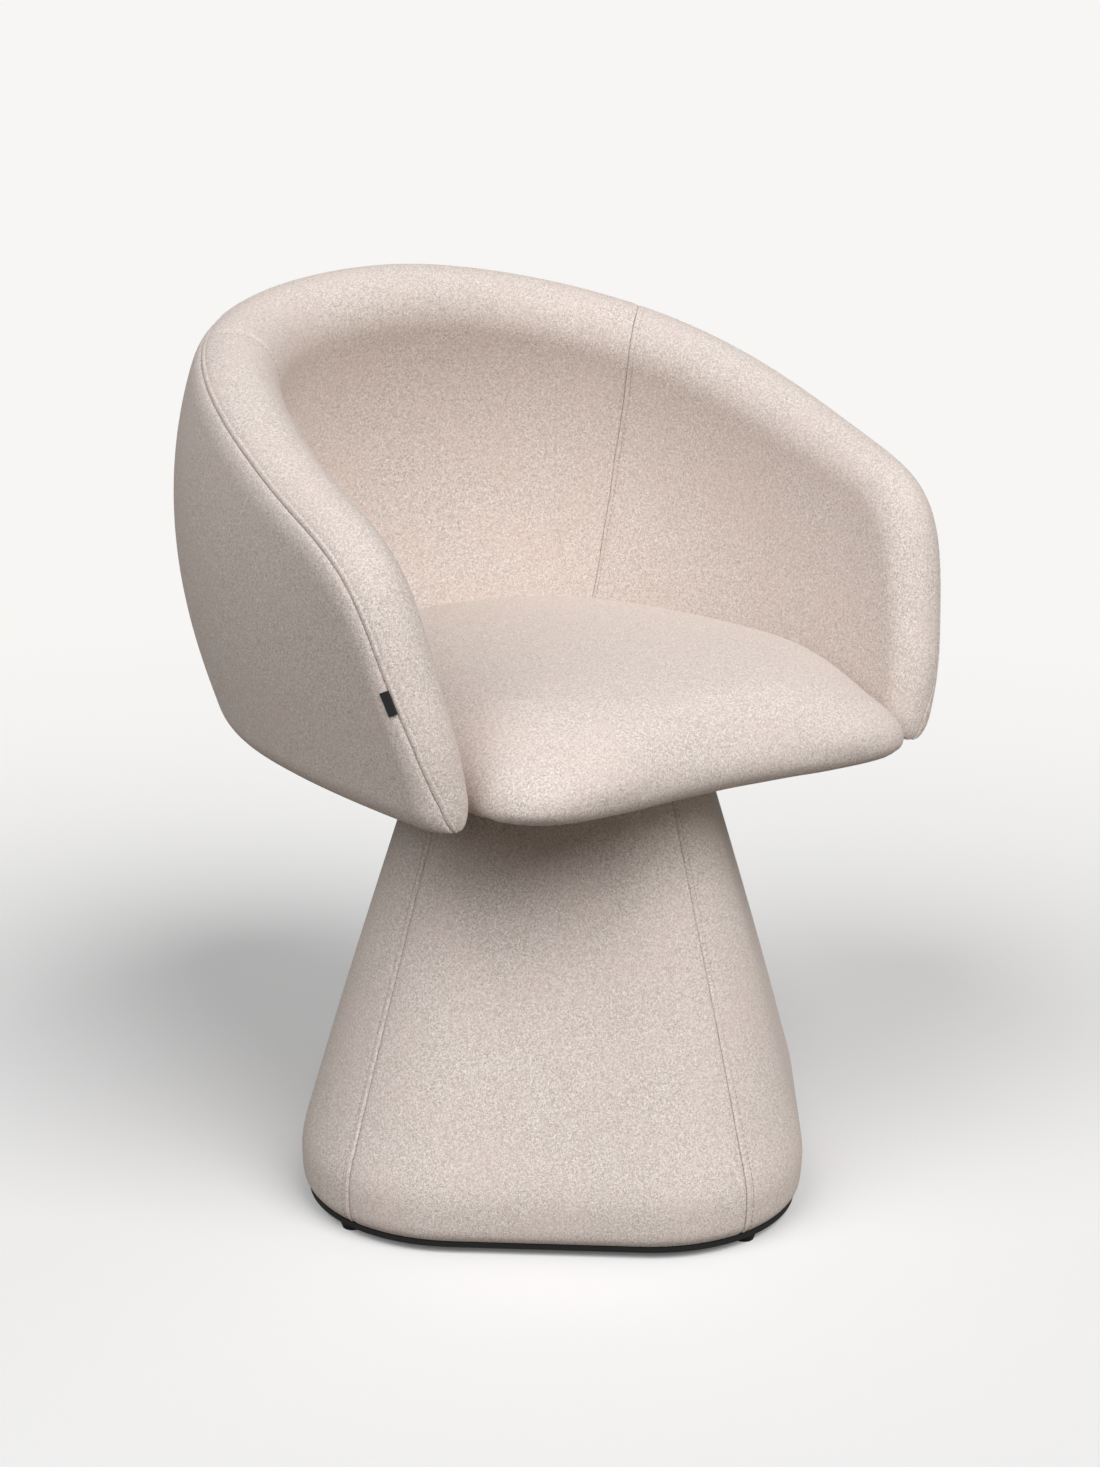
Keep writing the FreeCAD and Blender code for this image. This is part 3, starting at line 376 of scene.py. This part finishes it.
def lowCrossings(slices):
    # distances where each slice's profile leaves and meets the underside
    whole = slices.outerLong + slices.rimLong + slices.innerLong
    steps = np.linspace(0, 1, 601)
    heights = np.stack([slices.profile(whole * s)[:, 2] for s in steps])
    above = heights >= tub["underside"]
    first, last = above.argmax(axis=0), len(steps) - 1 - above[::-1].argmax(axis=0)
    low, high = [], []
    for i in range(len(whole)):
        if not above[:, i].any():
            middle = steps[heights[:, i].argmax()]
            low.append(middle)
            high.append(middle)
            continue
        for index, ends in ((first[i], low), (last[i], high)):
            beside = max(index - 1, 0) if ends is low else min(index + 1, len(steps) - 1)
            a, b = heights[beside, i], heights[index, i]
            share = 1 if a == b else (tub["underside"] - a) / (b - a)
            ends.append(mix(steps[beside], steps[index], min(max(share, 0), 1)))
    return np.array(low) * whole, np.array(high) * whole


def tipEnd():
    # the last share that still rises over the underside
    low, high = 0.8, 1.0
    for _ in range(30):
        middle = (low + high) / 2
        slices = Slices([middle])
        whole = float(slices.outerLong[0] + slices.rimLong[0] + slices.innerLong[0])
        top = max(slices.profile([whole * s])[0, 2] for s in np.linspace(0, 1, 201))
        low, high = (middle, high) if top > tub["underside"] + 0.0002 else (low, middle)
    return low


lastShare = tipEnd()
tipShare = lastShare * 0.995  # the panels end here, where the tip is still a few millimetres high
tableShares = 1 - (1 - np.linspace(0, 1, 400)) ** 2  # closer together towards the tip
crossings = lowCrossings(Slices(tableShares))
print("tub slices reach share", round(lastShare, 4))


def edgeCrossings(shares):
    return [np.interp(np.abs(shares), tableShares, column) for column in crossings]


def columnShares(first, last, seamShares):
    # shares for the mesh's columns: crowded towards the tips, with fixed lines beside each seam
    even = np.linspace(-1, 1, 2 * tub["columns"] + 1)
    shares = np.sign(even) * (1 - (1 - np.abs(even)) ** 1.9) * lastShare
    beside = seamLines / (rimLength / 2)
    keep = np.ones(len(shares), bool)
    for seam in seamShares:
        keep &= np.abs(shares - seam) > beside[-1] * 1.25
    extra = [seam + side * step for seam in seamShares for side in (-1, 1) for step in beside]
    shares = np.unique(np.round(np.concatenate([shares[keep], extra, [first, last]]), 7))
    return shares[(shares >= first - 1e-9) & (shares <= last + 1e-9)]


def leaningRow(shares, distance):
    # one row of the inner panels, its columns leaning with the inner seams
    seam = tub["innerSeamShare"]
    lean = np.interp(distance, tub["leanAt"], tub["leanBy"])
    size = np.abs(shares)
    pull = np.where(size < seam, size / seam, np.clip((lastShare - size) / (lastShare - seam), 0, 1))
    moved = np.sign(shares) * (size + lean * pull)
    slices = Slices(moved)
    low, high = edgeCrossings(moved)
    start = np.clip(slices.seamDistance(), low, high)
    return slices.profile(np.minimum(start + distance, high))


def tubGrid(shares, outer):
    # points of a panel's cloth: row 0 lies on the outer seam; also how far each point is from it
    slices = Slices(shares)
    low, high = edgeCrossings(shares)
    seam = np.clip(slices.seamDistance(), low, high)
    reach = seam - low if outer else high - seam
    squeeze = np.minimum(1, 0.5 * reach / seamLines[-1])  # where a panel runs out at the tip
    distances = [squeeze * line for line in seamLines]
    for share in np.linspace(0, 1, (tub["outerRows"] if outer else tub["innerRows"]) + 1)[1:]:
        distances.append(mix(squeeze * seamLines[-1], reach, share))
    distances = np.stack(distances)
    if outer:
        raw = np.stack([slices.profile(seam - row) for row in distances])
        normal = -surfaceNormals(raw)
    else:
        raw = np.stack([leaningRow(shares, row) for row in distances])
        normal = surfaceNormals(raw)
    outFlat = slices.out.copy()
    outFlat[:, 2] = 0
    outFlat = unit(outFlat)
    rounding = tub["edgeRounding"]
    top = tub["underside"] + rounding
    sunk = np.clip((top - raw[..., 2]) / rounding, 0, 1) * math.pi / 2
    sideways = np.sum(normal * outFlat, axis=-1)[..., None]
    alongFlat = normal.copy()
    alongFlat[..., 2] = 0
    alongFlat -= outFlat * sideways
    inset = tub["insetShare"] * slices.half * (1 - np.cos(sunk))
    rounded = raw - (outFlat * sideways + alongFlat * tub["insetAlong"]) * inset[..., None]
    rounded[..., 2] = np.where(sunk > 0, top - rounding * np.sin(sunk), raw[..., 2])
    rounded[:, np.abs(shares) > tipShare - 0.0001, 2] = tub["underside"]
    return rounded, distances


def seamDepth(distance, lapped):
    # how far the cloth sinks at a distance from a seam; a lapped side is raised up to its topstitch
    sink = seams["depth"] * np.exp(-(distance / seams["reach"]) ** 2)
    if lapped:
        rise = seams["lapRise"] / (1 + np.exp((distance - seams["lapWidth"]) / seams["lapEdge"]))
        dip = seams["stitchDip"] * np.exp(-((distance - seams["lapWidth"]) / seams["stitchReach"]) ** 2)
        sink += dip - rise * (1 - np.exp(-(distance / seams["lapFade"]) ** 2))
    return sink


def clothPanel(name, points, body, nodes, flip=False):
    # quads through a grid of points, given the cloth's thickness and smoothed
    rows, columns = points.shape[:2]
    grid = np.arange(rows * columns).reshape(rows, columns)
    quads = np.stack([grid[:-1, :-1], grid[1:, :-1], grid[1:, 1:], grid[:-1, 1:]], axis=-1).reshape(-1, 4)
    if flip:
        quads = quads[:, ::-1]
    piece = newPiece(name, points.reshape(-1, 3).tolist(), quads.tolist(), woolCloth)
    cleanActive(mergeWithin=seams["mergeWithin"])
    applyModifier(piece, "SOLIDIFY", thickness=seams["cloth"], offset=-1)
    applyModifier(piece, "SUBSURF", levels=1, render_levels=1)
    bpy.ops.object.shade_smooth()
    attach(piece, body)
    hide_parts(*nodes)


def tubPanels():
    inner = tub["innerSeamShare"]
    linings = (("leftArmPad", -tipShare, -inner, ("left_arm_foam", "left_arm_lining")),
               ("backPad", -inner, inner, ("back_foam", "back_lining")),
               ("rightArmPad", inner, tipShare, ("right_arm_foam", "right_arm_lining")))
    covers = (("leftOuterCover", -tipShare, 0, ("left_outer_cover", "underside_hem")),
              ("rightOuterCover", 0, tipShare, ("right_outer_cover",)))
    lines = {}
    for name, first, last, nodes in linings:
        shares = columnShares(first, last, (-inner, inner))
        points, distances = tubGrid(shares, outer=False)
        normal = surfaceNormals(points)
        sink = seamDepth(distances, True)
        for seam in (-inner, inner):
            beside = np.abs(shares - seam) * rimLength / 2
            beside = beside * np.interp(distances, tub["narrowAt"], tub["narrowBy"])
            groove = np.maximum(sink, seamDepth(beside, name != "backPad"))
            sink = np.where(beside < seams["grooveWidth"], groove, sink)
        lines[name] = (shares, points - normal * sink[..., None], normal)
        clothPanel(name, lines[name][1], "seat", nodes)
    for name, first, last, nodes in covers:
        shares = columnShares(first, last, (0,))
        points, distances = tubGrid(shares, outer=True)
        # the hem closes the underside up to the lining's lower edge, away from any seam
        innerEdge = tubGrid(shares, outer=False)[0][-1]
        hem = [mix(points[-1], innerEdge, share) for share in tub["hemShares"]]
        points = np.concatenate([points, hem])
        distances = np.concatenate([distances, np.full((len(hem), len(shares)), 0.5)])
        normal = -surfaceNormals(points)
        beside = np.abs(shares) * rimLength / 2 + 0 * distances
        sink = np.maximum(seamDepth(distances, False), seamDepth(beside, name == "rightOuterCover"))
        lines[name] = (shares, points - normal * sink[..., None], normal)
        clothPanel(name, lines[name][1], "seat", nodes, flip=True)
    return lines


tubLines = tubPanels()
print("tub panels made")

cushion = {
    "frontReach": 0.240, "edge": 0.451, "crown": 0.479, "lip": 0.399, "clearance": 0.0012,
    "crownPower": 2.1, "crownReach": 0.12, "bow": 0.11, "lipBow": 0.1, "sideRings": 13, "crownRings": 22,
    # height share, leaves the arms at, nose reach, corner width, corner depth
    "lips": ((0, 0.985, 0.933, 0.943, 0.897), (0.11, 0.995, 0.959, 0.954, 0.902),
             (0.28, 0.98, 0.985, 0.95, 0.884), (0.5, 0.84, 1, 0.925, 0.88),
             (0.75, 0.52, 0.985, 0.865, 0.87), (1, -0.05, 0.94, 0.76, 0.86)),
    "voxel": 0.005, "pressure": 4.0, "frames": 20, "stiffness": 20, "heldHeight": 0.004,
    "calming": 16, "cap": 0.006, "rounding": 40, "roundFrom": 0.012, "roundOver": 0.025,
    "padGap": 0.0005, "wrap": 0.0015,
    # small tucks at the lower front corners
    "tuckAt": 0.2, "tuckReach": 0.03, "tuckHigh": 0.014, "tuckDepth": 0.0009, "tuckEvery": 0.011,
    "tuckBehind": 0.1, "tuckFade": 0.05, "fill": 0.9,
}


def cushionOutline(height, room, fullness, leave, noseShare, cornerShare, depthShare, count=64):
    # ring round the cushion at a height: along the tub's wall, then over the bowed front
    shares = np.linspace(-0.86, 0.86, 241)
    slices = Slices(shares)
    tops = slices.place(slices.end, 0 * slices.half)[:, 2]
    last = shares[tops > height + 0.004].max()
    slices = Slices(np.linspace(-last, last, len(shares)))
    wall = slices.levelPoint(height, -slices.half - cushion["clearance"])[:, :2]
    lengths = lengthsAlong(wall)
    ends = (1 - leave) * abs(tub["setback"] + wall[-1, 1])
    at = np.linspace(ends, lengths[-1] - ends, count)
    path = np.stack([np.interp(at, lengths, wall[:, 0]), np.interp(at, lengths, wall[:, 1])], axis=-1)
    nose = -cushion["frontReach"] * noseShare
    corner = np.array([path[-1, 0] * cornerShare, nose * depthShare])
    leap = corner - path[-1]
    bend = path[-1] + leap / 2 + np.array([-leap[1], leap[0]]) * cushion["bow"] * fullness
    mirror = np.array([-1, 1])
    knots = np.concatenate([path[-9:], [bend, corner, (0, nose), corner * mirror, bend * mirror], path[:9]])
    steps = lengthsAlong(knots)
    front = np.linspace(steps[8], steps[-9], count)[1:-1]
    front = np.stack([smoothThrough(steps, column)(front) for column in knots.T], axis=-1)
    outline = np.concatenate([path, front])
    centre = -cushion["crownReach"] * cushion["frontReach"]
    outline = np.stack([outline[:, 0] * room, mix(centre, outline[:, 1], room)], axis=-1)
    return np.concatenate([outline, np.full((len(outline), 1), height)], axis=1)


def meshPoints(mesh):
    flat = np.empty(3 * len(mesh.vertices), np.float32)
    mesh.vertices.foreach_get("co", flat)
    return flat.reshape(-1, 3).astype(float)


def blowUp(piece):
    # cloth simulation: air pressure rounds the cover while its lower lip is held
    held = piece.vertex_groups.new(name="lip")
    low = [v.index for v in piece.data.vertices if v.co.z < cushion["lip"] + cushion["heldHeight"]]
    held.add(low, 1.0, "REPLACE")
    cloth = piece.modifiers.new("air", "CLOTH")
    cloth.settings.use_pressure = True
    cloth.settings.uniform_pressure_force = cushion["pressure"]
    cloth.settings.effector_weights.gravity = 0
    cloth.settings.vertex_group_mass = "lip"
    cloth.settings.tension_stiffness = cloth.settings.compression_stiffness = cushion["stiffness"]
    cloth.point_cache.frame_start, cloth.point_cache.frame_end = 1, cushion["frames"]
    for frameNumber in range(1, cushion["frames"] + 1):
        scene.frame_set(frameNumber)
    bpy.ops.object.modifier_apply(modifier=cloth.name)
    scene.frame_set(1)


def settleCushion(piece, shaped):
    # evens out and caps the air's moves, then clears the neighbours and adds the tucks
    points = meshPoints(piece.data)
    move = points - shaped
    edges = np.empty(2 * len(piece.data.edges), np.int32)
    piece.data.edges.foreach_get("vertices", edges)
    first, second = edges.reshape(-1, 2).T
    count = np.bincount(edges, minlength=len(points))[:, None]

    def evened(values):
        total = np.zeros_like(values)
        np.add.at(total, first, values[second])
        np.add.at(total, second, values[first])
        return total / count

    for _ in range(cushion["calming"]):
        move = evened(move)
    size = np.linalg.norm(move, axis=1, keepdims=True)
    points = shaped + move * np.minimum(1, cushion["cap"] / np.maximum(size, 1e-9))
    upper = (points[:, 2:] - cushion["lip"] - cushion["roundFrom"]) / cushion["roundOver"]
    for _ in range(cushion["rounding"]):
        points = mix(points, evened(points), 0.5 * np.clip(upper, 0, 1))
    depsgraph = bpy.context.evaluated_depsgraph_get()
    pads = [BVHTree.FromObject(bpy.data.objects[name], depsgraph)
            for name in ("leftArmPad", "backPad", "rightArmPad")]
    board = BVHTree.FromObject(frame["nodes"]["seat_board"], depsgraph)
    for index, point in enumerate(points):
        # the cover is wrapped round the board's edge
        place, normal, face, away = board.find_nearest(point, 0.01)
        beside = place is not None and abs(normal.z) < 0.5
        if beside and (Vector(point) - place).dot(normal) < cushion["wrap"]:
            points[index] = place + normal * cushion["wrap"]
            point = points[index]
        for pad in pads:
            place, normal, face, away = pad.find_nearest(point, 0.02)
            if place is not None and (Vector(point) - place).dot(normal) < cushion["padGap"]:
                points[index] = place + normal * cushion["padGap"]
    across = np.abs(points[:, 0])
    near = np.clip((-points[:, 1] - cushion["tuckBehind"]) / cushion["tuckFade"], 0, 1)
    near *= np.exp(-((across - cushion["tuckAt"]) / cushion["tuckReach"]) ** 2)
    near *= np.exp(-(np.maximum(points[:, 2] - cushion["lip"], 0) / cushion["tuckHigh"]) ** 2)
    wave = np.cos(2 * math.pi * (across + 0.3 * points[:, 1]) / cushion["tuckEvery"])
    points[:, 2] += near * (1 - wave) * cushion["tuckDepth"] / 2
    points[:, 1] += near * (1 - wave) * cushion["tuckDepth"]
    piece.data.vertices.foreach_set("co", points.astype(np.float32).ravel())
    piece.data.update()


def seatCushion():
    lips = np.array(cushion["lips"])
    lipShapes = [smoothThrough(lips[:, 0], lips[:, column]) for column in range(1, 5)]
    rings = []
    for share in np.linspace(0, 1, cushion["sideRings"]):
        rings.append(cushionOutline(mix(cushion["lip"], cushion["edge"], share), 1,
                                    mix(cushion["lipBow"], 1, share ** 2),
                                    *[float(shape(share)) for shape in lipShapes]))
    for turn in np.linspace(0, math.pi / 2, cushion["crownRings"])[1:]:
        room = max(math.cos(turn) ** (2 / cushion["crownPower"]), 0.0)
        lift = math.sin(turn) ** (2 / cushion["crownPower"])
        rings.append(cushionOutline(mix(cushion["edge"], cushion["crown"], lift), room, 1, *lips[-1, 1:]))
    points = np.stack(rings)
    rows, columns = points.shape[:2]
    faces = [(r * columns + c, r * columns + (c + 1) % columns,
              (r + 1) * columns + (c + 1) % columns, (r + 1) * columns + c)
             for r in range(rows - 1) for c in range(columns)]
    faces.append(tuple(range(columns))[::-1])
    piece = newPiece("seatCushion", points.reshape(-1, 3).tolist(), faces, woolCloth)
    cleanActive(mergeWithin=0.0002, turnOutwards=True)
    applyModifier(piece, "REMESH", mode="VOXEL", voxel_size=cushion["voxel"])
    applyModifier(piece, "SMOOTH", factor=0.5, iterations=6)
    shaped = meshPoints(piece.data)
    blowUp(piece)
    settleCushion(piece, shaped)
    applyModifier(piece, "SUBSURF", levels=1, render_levels=1)
    piece.data.materials.clear()
    piece.data.materials.append(woolCloth)
    bpy.ops.object.shade_smooth()
    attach(piece, "seat")
    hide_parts("seat_cover", "seat_foam")


seatCushion()
print("cushion made")

base = {
    "height": 0.374, "plateTop": 0.012, "halfWidth": 0.219, "topHalfWidth": 0.124, "corner": 0.138,
    "heights": (0, 0.014, 0.044, 0.1, 0.188, 0.298, 0.63, 1),
    "widths": (0.937, 0.974, 0.996, 1, 0.925, 0.806, 0.434, 0),
    "turn": -38, "panelHalfAngle": 41.5,
    "seamRadius": 0.2,  # turns the distances beside a seam into angles
    "columns": 40, "rows": 64,
}
flareShape = smoothThrough(base["heights"], base["widths"])


def baseOutline(angle, half, corner):
    # distance from the axis to a rounded square's outline, at angles from its front
    local = (np.asarray(angle) + 45) % 90 - 45
    turn = np.radians(np.abs(local))
    flat = half / np.cos(turn)
    onFlat = half * np.tan(turn) <= half - corner
    centre = (half - corner) * math.sqrt(2)
    fromDiagonal = math.pi / 4 - turn
    depth = np.sqrt(np.maximum(corner ** 2 - (centre * np.sin(fromDiagonal)) ** 2, 0))
    return np.where(onFlat, flat, centre * np.cos(fromDiagonal) + depth)


def basePanels():
    stitched = []
    half = base["panelHalfAngle"]
    # name, first and last angle, CAD nodes, lapped over its neighbours
    panels = (("baseFrontPanel", -half, half, ("base_cover_front", "base_padding"), False),
              ("baseRightPanel", half, 180 - half, ("base_cover_right",), True),
              ("baseBackPanel", 180 - half, 180 + half, ("base_cover_back",), False),
              ("baseLeftPanel", 180 + half, 360 - half, ("base_cover_left",), True))
    beside = np.degrees(seamLines / base["seamRadius"])
    for name, first, last, nodes, lapped in panels:
        inside = np.linspace(first + beside[-1], last - beside[-1], base["columns"])[1:-1]
        angles = np.concatenate([first + beside, inside, (last - beside)[::-1]])
        rows = []
        for share in np.concatenate([[0.0, 0.004, 0.012], np.linspace(0.02, 1, base["rows"])]):
            width = mix(base["topHalfWidth"], base["halfWidth"], float(flareShape(share)))
            reach = baseOutline(angles, width, base["corner"] * width / base["halfWidth"])
            turn = np.radians(angles + base["turn"])
            height = mix(base["plateTop"], base["height"], share)
            rows.append(np.stack([reach * np.sin(turn), -reach * np.cos(turn), height + 0 * turn], axis=-1))
        points = np.stack(rows)
        normal = surfaceNormals(points)
        if np.sum(normal[20, 20, :2] * points[20, 20, :2]) < 0:
            normal = -normal
        away = np.radians(np.minimum(angles - first, last - angles))
        distance = away[None, :] * np.linalg.norm(points[..., :2], axis=-1)
        points = points - normal * seamDepth(distance, lapped)[..., None]
        if lapped:
            stitched += [(points[:, at], normal[:, at]) for at in (stitchLine, -1 - stitchLine)]
        clothPanel(name, points, "base", nodes, flip=True)
    return stitched


baseLines = basePanels()
print("base panels made")


def stitches(name, paths, body):
    # short threads laid end to end along each path, their ends drawn into the cloth
    sides = 6
    turns = np.linspace(0, 2 * math.pi, sides + 1)[:-1]
    rings = ((-0.38, 0.8, 0.0), (0, 1, 0.4), (0.38, 0.8, 0.0))  # place along, width, lift
    corners = 2 + sides * len(rings)
    lastRing = corners - 1 - sides
    faces = [(0, 1 + (k + 1) % sides, 1 + k) for k in range(sides)]
    faces += [(corners - 1, lastRing + k, lastRing + (k + 1) % sides) for k in range(sides)]
    for r in range(1, 1 + sides * (len(rings) - 1), sides):
        faces += [(r + k, r + (k + 1) % sides, r + sides + (k + 1) % sides, r + sides + k)
                  for k in range(sides)]
    radius, long, every = seams["threadRadius"], seams["stitchLong"], seams["stitchEvery"]
    vertices, polygons = [], []
    for path, normals in paths:
        lengths = lengthsAlong(path)
        at = np.arange(every, lengths[-1] - every, every)

        def along(values, shift=0.0):
            return np.stack([np.interp(at + shift, lengths, column) for column in values.T], axis=-1)

        centre, up = along(path), unit(along(normals))
        ahead = unit(along(path, 0.0005) - along(path, -0.0005))
        side = np.cross(ahead, up)
        rows = [centre - ahead * long / 2 - up * radius]
        for place, width, lift in rings:
            for turn in turns:
                around = side * math.cos(turn) + up * math.sin(turn)
                rows.append(centre + ahead * place * long + (around * width + up * lift) * radius)
        rows.append(centre + ahead * long / 2 - up * radius)
        first = len(vertices)
        vertices += np.stack(rows, axis=1).reshape(-1, 3).tolist()
        polygons += [tuple(first + corners * s + corner for corner in face)
                     for s in range(len(at)) for face in faces]
    piece = newPiece(name, vertices, polygons, threadFinish)
    cleanActive(turnOutwards=True)
    bpy.ops.object.shade_smooth()
    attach(piece, body)


def tubStitchPaths():
    # beside the outer seam all round, beside each inner seam, and beside the back's middle seam
    paths = []
    lapShare = seams["lapWidth"] / (rimLength / 2)
    for name, (shares, points, outward) in tubLines.items():
        cover = name in ("leftOuterCover", "rightOuterCover")
        if not cover:
            paths.append((points[stitchLine], outward[stitchLine]))
        if name not in ("backPad", "leftOuterCover"):
            seam = 0 if cover else tub["innerSeamShare"]
            column = int(np.argmin(np.abs(np.abs(shares) - seam - lapShare)))
            paths.append((points[stitchLine:, column], outward[stitchLine:, column]))
    return paths


threadFinish = spunThread()
stitches("tubStitches", tubStitchPaths(), "seat")
stitches("baseStitches", baseLines, "base")
print("stitches made")

setting = {
    "paper": "#E9E8E6", "bounce": "#7A756E", "backdrop": "#F7F6F4", "reach": 40.0, "fill": 0.001,
    "fadeFrom": 0.6, "fadeTo": 2.1, "glow": 0.10,
    # name, azimuth, elevation, strength, spread in degrees, tint; azimuth 0 stands in front of the chair
    "lamps": (("keyLamp", 0, 48, 0.70, 40, "#FDFDFF"), ("leftLamp", -78, 42, 0.54, 45, "#FBFCFF"),
              ("lowLamp", 15, 12, 0.09, 50, "#FFFDFA"), ("rightLamp", 55, 30, 0.11, 60, "#FFFFFF")),
}


def seamlessPaper():
    # matt paper sweep: pale to the camera and fading into the backdrop, greyer in the light it throws back
    material, tree, shader, place = startMaterial("seamlessPaper")
    seen = addNode(tree, "LightPath").outputs["Is Camera Ray"]
    away = addNode(tree, "VectorMath", {0: place}, operation="LENGTH").outputs["Value"]
    fade = addNode(tree, "MapRange", {"Value": away, "From Min": setting["fadeFrom"],
                                      "From Max": setting["fadeTo"]}).outputs["Result"]
    paper = addNode(tree, "Mix", {"Factor": fade, 6: srgb(setting["paper"]), 7: srgb("#000000")},
                    data_type="RGBA")
    colour = addNode(tree, "Mix", {"Factor": seen, 6: srgb(setting["bounce"]), 7: paper.outputs[2]},
                     data_type="RGBA")
    glow = addNode(tree, "MapRange", {"Value": fade, "To Min": setting["glow"], "To Max": 1.0})
    seenGlow = addNode(tree, "Math", {0: seen, 1: glow.outputs["Result"]}, operation="MULTIPLY")
    tree.links.new(colour.outputs[2], shader.inputs["Base Color"])
    tree.links.new(seenGlow.outputs[0], shader.inputs["Emission Strength"])
    shader.inputs["Emission Color"].default_value = srgb(setting["backdrop"])
    shader.inputs["Roughness"].default_value = 0.9
    shader.inputs["Specular IOR Level"].default_value = 0.0
    return material


bpy.ops.object.select_all(action="DESELECT")
bpy.ops.mesh.primitive_plane_add(size=2 * setting["reach"], location=(0, 0, 0))
floor = bpy.context.object
floor.name = "paperFloor"
floor.data.materials.append(seamlessPaper())

world = bpy.data.worlds.new("studio")
scene.world = world
world.use_nodes = True
tree = world.node_tree
lit = tree.nodes["Background"]
lit.inputs["Color"].default_value = srgb("#FFFFFF")
lit.inputs["Strength"].default_value = setting["fill"]
seen = addNode(tree, "Background", {"Color": srgb(setting["backdrop"]), "Strength": 1.0})
rays = addNode(tree, "LightPath").outputs
glossy = addNode(tree, "Math", {0: rays["Is Camera Ray"], 1: rays["Is Glossy Ray"]}, operation="MAXIMUM")
clear = addNode(tree, "Math", {0: glossy.outputs[0], 1: rays["Is Transmission Ray"]}, operation="MAXIMUM")
sky = addNode(tree, "MixShader", {0: clear.outputs[0], 1: lit.outputs[0], 2: seen.outputs[0]})
tree.links.new(sky.outputs[0], tree.nodes["World Output"].inputs["Surface"])

for name, azimuth, elevation, strength, spread, tint in setting["lamps"]:
    around, up = math.radians(azimuth), math.radians(elevation)
    toLamp = Vector((math.sin(around) * math.cos(up), -math.cos(around) * math.cos(up), math.sin(up)))
    bpy.ops.object.select_all(action="DESELECT")
    bpy.ops.object.light_add(type="SUN", location=toLamp * 3)
    lamp = bpy.context.object
    lamp.name = name
    lamp.data.angle = math.radians(spread)
    lamp.data.energy = strength * math.pi
    lamp.data.color = srgb(tint)[:3]
    lamp.rotation_euler = toLamp.to_track_quat("Z", "Y").to_euler()

camera = {"place": (-1.2274, -1.6671, 0.9740), "aim": (0, 0, 0.389), "roll": 0.9329, "focusPx": 2467.49,
          "shiftPx": (-11.32, 4.58), "highPx": 1467, "sensorMm": 36}
bpy.ops.object.select_all(action="DESELECT")
bpy.ops.object.camera_add(location=camera["place"])
eye = bpy.context.object
eye.name = "photoCamera"
forward = (Vector(camera["aim"]) - Vector(camera["place"])).normalized()
level = forward.cross(Vector((0, 0, 1))).normalized()
upward = level.cross(forward)
roll = math.radians(camera["roll"])
xAxis = level * math.cos(roll) + upward * math.sin(roll)
yAxis = upward * math.cos(roll) - level * math.sin(roll)
axes = Matrix((xAxis, yAxis, -forward)).transposed().to_4x4()
eye.matrix_world = Matrix.Translation(camera["place"]) @ axes
eye.data.sensor_fit = "VERTICAL"
eye.data.sensor_height = camera["sensorMm"]
eye.data.lens = camera["focusPx"] / camera["highPx"] * camera["sensorMm"]
eye.data.shift_x, eye.data.shift_y = [shift / camera["highPx"] for shift in camera["shiftPx"]]
scene.camera = eye
scene.view_settings.view_transform = "Standard"
print("camera and lamps set")
